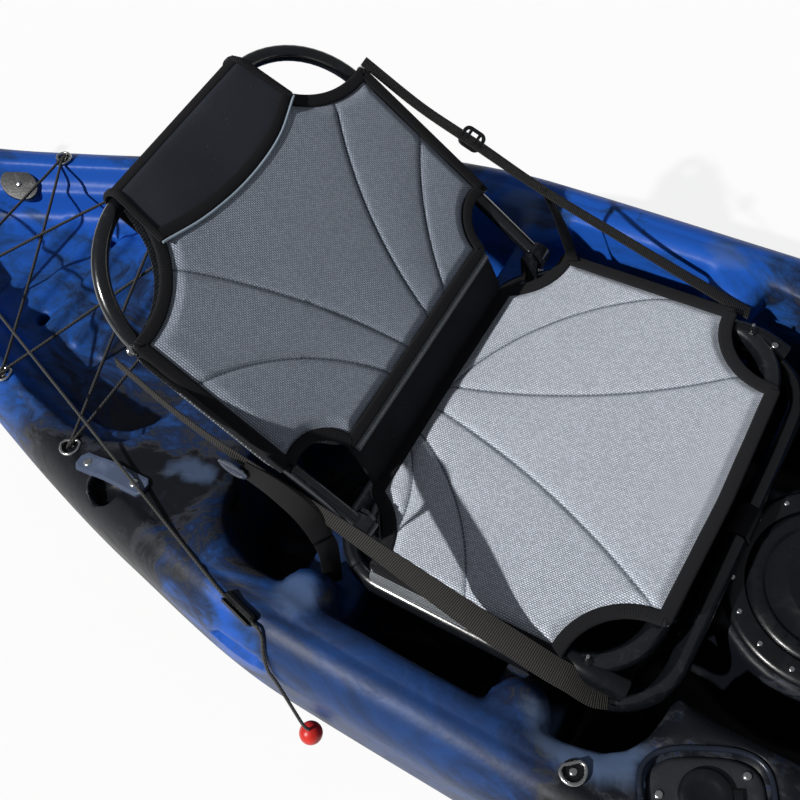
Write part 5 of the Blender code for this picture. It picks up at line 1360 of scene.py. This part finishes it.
def hatch(prefix, centre, scale, body, screw_count):
    centre = Vector(centre)
    ring_r, lid_r, mouth_r = RING * scale, LID * scale, MOUTH * scale
    neck = ring_r - 0.0245 * scale - 0.0008
    outline = ((neck, 0.0003), (ring_r, 0.0003), (ring_r, 0.0035), (ring_r - 0.0012, 0.0052),
               (ring_r - 0.004, 0.0072), (ring_r - 0.0065, 0.0080), (lid_r + 0.0035, 0.0080),
               (lid_r + 0.0022, 0.0076), (lid_r + 0.0010, 0.0066), (lid_r + 0.0010, -0.0040),
               (mouth_r, -0.0040), (mouth_r, -0.0160), (neck, -0.0160))
    sides = 96
    points = [centre + Vector((*polar(r, math.tau * k / sides), h)) for r, h in outline for k in range(sides)]
    rim = from_faces(f"{prefix}_hatch_rim", points, ring_faces(len(outline), sides, True))
    settle(rim, "black", "boat", f"{prefix}_hatch_ring")
    profile = ((0.001, -0.0035), (0, -0.002), (0, 0.004), (0.0015, 0.0062), (0.004, 0.0082), (0.008, 0.0094),
               (0.014, 0.0095), (0.018, 0.0080), (0.0205, 0.0050), (0.0225, 0.0040), (0.045, 0.0040),
               (0.0465, 0.0052), (0.0480, 0.0052), (0.0495, 0.0040), (lid_r - 0.004, 0.0040))
    lid = [turned("lid", [(lid_r - inset, h) for inset, h in profile], centre, sides)]
    half = lid_r - 0.014
    grip = [centre + Vector((0, half * (k / 4 - 1), 0.0078)) for k in range(9)]
    shape = ((-0.015, -0.005), (0.015, -0.005), (0.0148, 0.002), (0.0115, 0.0048), (-0.0115, 0.0048),
             (-0.0148, 0.002))
    lid.append(swept("grip", grip, [(x * scale, z) for x, z in shape], UP))
    for k in range(36):
        spoke = Vector((*polar(1, math.tau * k / 36), 0))
        if abs(spoke.y) < 0.985:
            ends = [centre + spoke * (lid_r - 0.0145 + r) + UP * 0.0096 for r in (0, 0.0022, 0.0045)]
            lid.append(swept("rib", ends, round_outline(0.0009, 6)))
    settle(joined(f"{prefix}_hatch_cap", lid), "black", body, f"{prefix}_hatch_lid")
    at = [polar(0.110 * scale, math.tau * (k + 0.5) / screw_count) for k in range(screw_count)]
    screws(f"{prefix}_hatch_screws", [(centre + Vector((x, y, 0.0078)), UP) for x, y in at], 0.0036, "boat")


hatch("middle", (-0.156, 0, 0.235), 1.0, "middle_lid", 17)
hatch("bow", (1.765, 0, 0.34824), 0.8, "bow_lid", 14)

# %% Rod holders
ROD_TURN = math.radians(27)
LIP_LONG, LIP_WIDE, LIP_HIGH, LIP_ROUND = 0.0620, 0.0430, 0.0135, 0.0030


def squircle(angle, corner):
    c, s = math.cos(angle), math.sin(angle)
    return math.copysign(abs(c) ** (2 / corner), c), math.copysign(abs(s) ** (2 / corner), s)


def rod_holder(word, side):
    mouth = Vector((ROD_X, side * ROD_Y, ROD_Z))
    sides = 64

    def beside(along, over_side, high):
        """A place by the mouth, in the holder's own turned axes."""
        x = along * math.cos(ROD_TURN) - over_side * math.sin(ROD_TURN)
        y = along * math.sin(ROD_TURN) + over_side * math.cos(ROD_TURN)
        return mouth + Vector((x, -side * y, high))

    def rim(long, wide, corner, high):
        shape = [squircle(math.tau * k / sides, corner) for k in range(sides)]
        return [beside(long * along, wide * over_side, high) for along, over_side in shape]

    points = []
    for h, inset, corner in ((0.0003, 0.0, 2.9), (0.0030, 0.0, 2.9), (0.0048, 0.0012, 2.9),
                             (0.0060, 0.0040, 2.9), (0.0060, 0.0110, 2.8)):
        points += rim(0.056 - inset, 0.037 - inset, corner, h)
    for r, h in ((0.0262, 0.0060), (0.0252, 0.0050), (0.0206, 0.0045), (0.0206, -0.022)):
        points += rim(r, r, 2, h)
    lean = Vector((0.072, 0, -0.140))
    for r, t in ((0.0206, 0.04), (0.0206, 0.98), (0.0245, 1.0), (0.0245, 0.03)):
        for point in rim(r, r, 2, -0.022):
            x = point.x - mouth.x
            points.append(point + lean * t + Vector((x * 0.05, 0, x * 0.45)))
    holder = from_faces(f"{word}_rod_holder", points, ring_faces(len(points) // sides, sides, True))
    settle(holder, "grey", "boat", f"rod_holder_{word}")
    outline = ((0.0170, -0.0160), (0.0192, -0.0130), (0.0192, -0.0004), (0.0250, 0.0), (0.0258, 0.0012),
               (0.0262, 0.0030), (0.0250, 0.0050), (0.0225, 0.0064), (0.0150, 0.0066), (0.0135, 0.0056),
               (0.0040, 0.0056))
    tab = [beside(r, 0, 0.0100) for r in (0.0240, 0.0290, 0.0330)]
    cap = [turned("cap", outline, mouth + UP * 0.0066, 56),
           swept("tab", tab, flat_outline(0.012, 0.0032), UP)]
    settle(joined(f"{word}_rod_cap", cap), "black", f"{word}_cap", f"rod_cap_{word}")
    places = [(beside(*place, 0.0058), UP) for place in ((-0.044, 0.0), (0.040, 0.020), (0.040, -0.020))]
    screws(f"{word}_rod_holder_screws", places, 0.0048, "boat")
    lip = rim(LIP_LONG, LIP_WIDE, 3, LIP_HIGH)
    settle(swept(f"{word}_rod_lip", lip, round_outline(LIP_ROUND, 12), UP, True), "lip", "boat")


for word, side in SIDES:
    rod_holder(word, side)

# %% [markdown]
# Cord on the deck. The elastic web is one loop through six eyes, and the rudder's line runs the
# length of the tankwell. Both get a round section fine enough for the braid to show.

# %% Elastic web and lift line
EYE_ROW = ((-1.045, 0.2703, 0.2868), (-1.235, 0.2159, 0.2574), (-1.435, 0.145, 0.2546))
EYES = {(k, side): (x, side * y, z) for side in (-1, 1) for k, (x, y, z) in enumerate(EYE_ROW)}
LACING = ((2, -1), (1, 1), (0, -1), (0, 1), (1, -1), (2, 1))
ARCHES = {((2, -1), (1, 1)): 0.0035, ((1, 1), (0, -1)): 0.0035, ((0, 1), (1, -1)): -0.0035,
          ((1, -1), (2, 1)): -0.0035}


def elastic_web():
    points = []
    for here, there in zip(LACING, LACING[1:] + LACING[:1]):
        a, b = (Vector(EYES[key]) + Vector((0, 0, 0.0055)) for key in (here, there))
        heading = (b - a).normalized()
        arch = ARCHES.get((here, there), 0.0)
        points.append(a + heading * 0.012 + Vector((0, 0, 0.0005)))
        points += [a.lerp(b, k / 8) + Vector((0, 0, arch * math.sin(math.pi * k / 8))) for k in range(1, 8)]
        points.append(b - heading * 0.012 + Vector((0, 0, 0.0005)))
        points.append(b + Vector((0, math.copysign(0.005, b.y), 0.0005)))
    ring = [points[-1]] + points + [points[0]]
    path = curved(ring, 0.01)[2:-3]
    settle(swept("elastic_web", path, round_outline(0.0022, 10), None, True), "cord", "boat", "bungee_web")


elastic_web()
LIFT_ROUTE = ((-1.877, 0.0, 0.2866), (-1.877, 0.0, 0.293), (-1.863, 0.0, 0.299), (-1.795, 0.0, 0.2907),
              (-1.71, 0.0, 0.2799), (-0.918, -0.281, 0.3222), (-0.741, -0.3435, 0.3192),
              (-0.708, -0.3517, 0.3187), (-0.6828, -0.358, 0.3187))
bends = curved(LIFT_ROUTE[:5], 0.004)[:-1]
run = [Vector(LIFT_ROUTE[4]).lerp(Vector(LIFT_ROUTE[5]), k / 60) for k in range(60)]
settle(swept("lift_line_cord", bends + run + curved(LIFT_ROUTE[5:], 0.008), round_outline(LINE, 10)),
       "cord", "boat", "lift_line")

# %% [markdown]
# Every eye on the deck is a chrome D-ring that lies round a small dark cup, and a bright screw in the
# cup holds it down. The ring is one closed path, bent through a half circle and a straight bar.

# %% Deck rings
RING_REACH, RING_WIRE = 0.0125, 0.0020


def deck_ring(name, place, way, node):
    """A D-ring, its cup and its screw. way turns the ring's round side, in degrees from the bow."""
    place = Vector(place)
    turn = Matrix.Rotation(math.radians(way), 3, "Z")
    shape = [polar(RING_REACH, math.radians(-90 + 180 * k / 18)) for k in range(19)]
    shape += [(-0.0035, RING_REACH), (-0.0075, 0.0085), (-0.0075, 0.0), (-0.0075, -0.0085),
              (-0.0035, -RING_REACH)]
    ring = swept(f"{name}_ring", [place + turn @ Vector((x, y, 0.0046)) for x, y in shape],
                 round_outline(RING_WIRE, 12), UP, True)
    settle(ring, "steel", "boat", node)
    cup = ((0.0122, 0.0002), (0.0122, 0.0020), (0.0112, 0.0028), (0.0092, 0.0028), (0.0078, 0.0010),
           (0.0010, 0.0009))
    settle(turned(f"{name}_cup", cup, place, 32), "black", "boat")
    screws(f"{name}_screw", [(place + UP * 0.0010, UP)], 0.0046, "boat")


PAD_PLACE, PAD_WAY = Vector((-1.497, 0.0890, 0.2272)), Vector((0.2, -0.49, 0.85)).normalized()
PAD_SIDES = 32
pad_side = (Vector((1, 0, 0)) - PAD_WAY * PAD_WAY.x).normalized()
pad_over = PAD_WAY.cross(pad_side)
pad_layers = ((0.036, 0.025, -0.004), (0.036, 0.025, 0.0030), (0.0340, 0.0230, 0.0060),
              (0.010, 0.008, 0.0064))
unit = round_outline(1, PAD_SIDES)
points = [PAD_PLACE + pad_side * (long * x) + pad_over * (wide * y) + PAD_WAY * high
          for long, wide, high in pad_layers for x, y in unit]
pad = from_faces("stern_pad", points, ring_faces(len(pad_layers), PAD_SIDES, False, True))
settle(pad, "tube", "boat")
screws("stern_pad_screw", [(PAD_PLACE + PAD_WAY * 0.0060, PAD_WAY)], 0.0050, "boat")

for (index, side), place in EYES.items():
    word = "starboard" if side < 0 else "port"
    deck_ring(f"{word}_eye_{index + 1}", place, 62 * side, f"cord_eye_{word}_{index + 1}")
for word, side in SIDES:
    deck_ring(f"{word}_gear", (-0.315, side * 0.332, 0.3203), 50 * side, f"gear_eye_{word}")
    places = [((x, side * 0.281, z + 0.0044), (0, 0, 1)) for x, z in ((-1.0, 0.2953), (-0.918, 0.3107))]
    screws(f"{word}_handle_bolts", places, 0.0060, "boat")
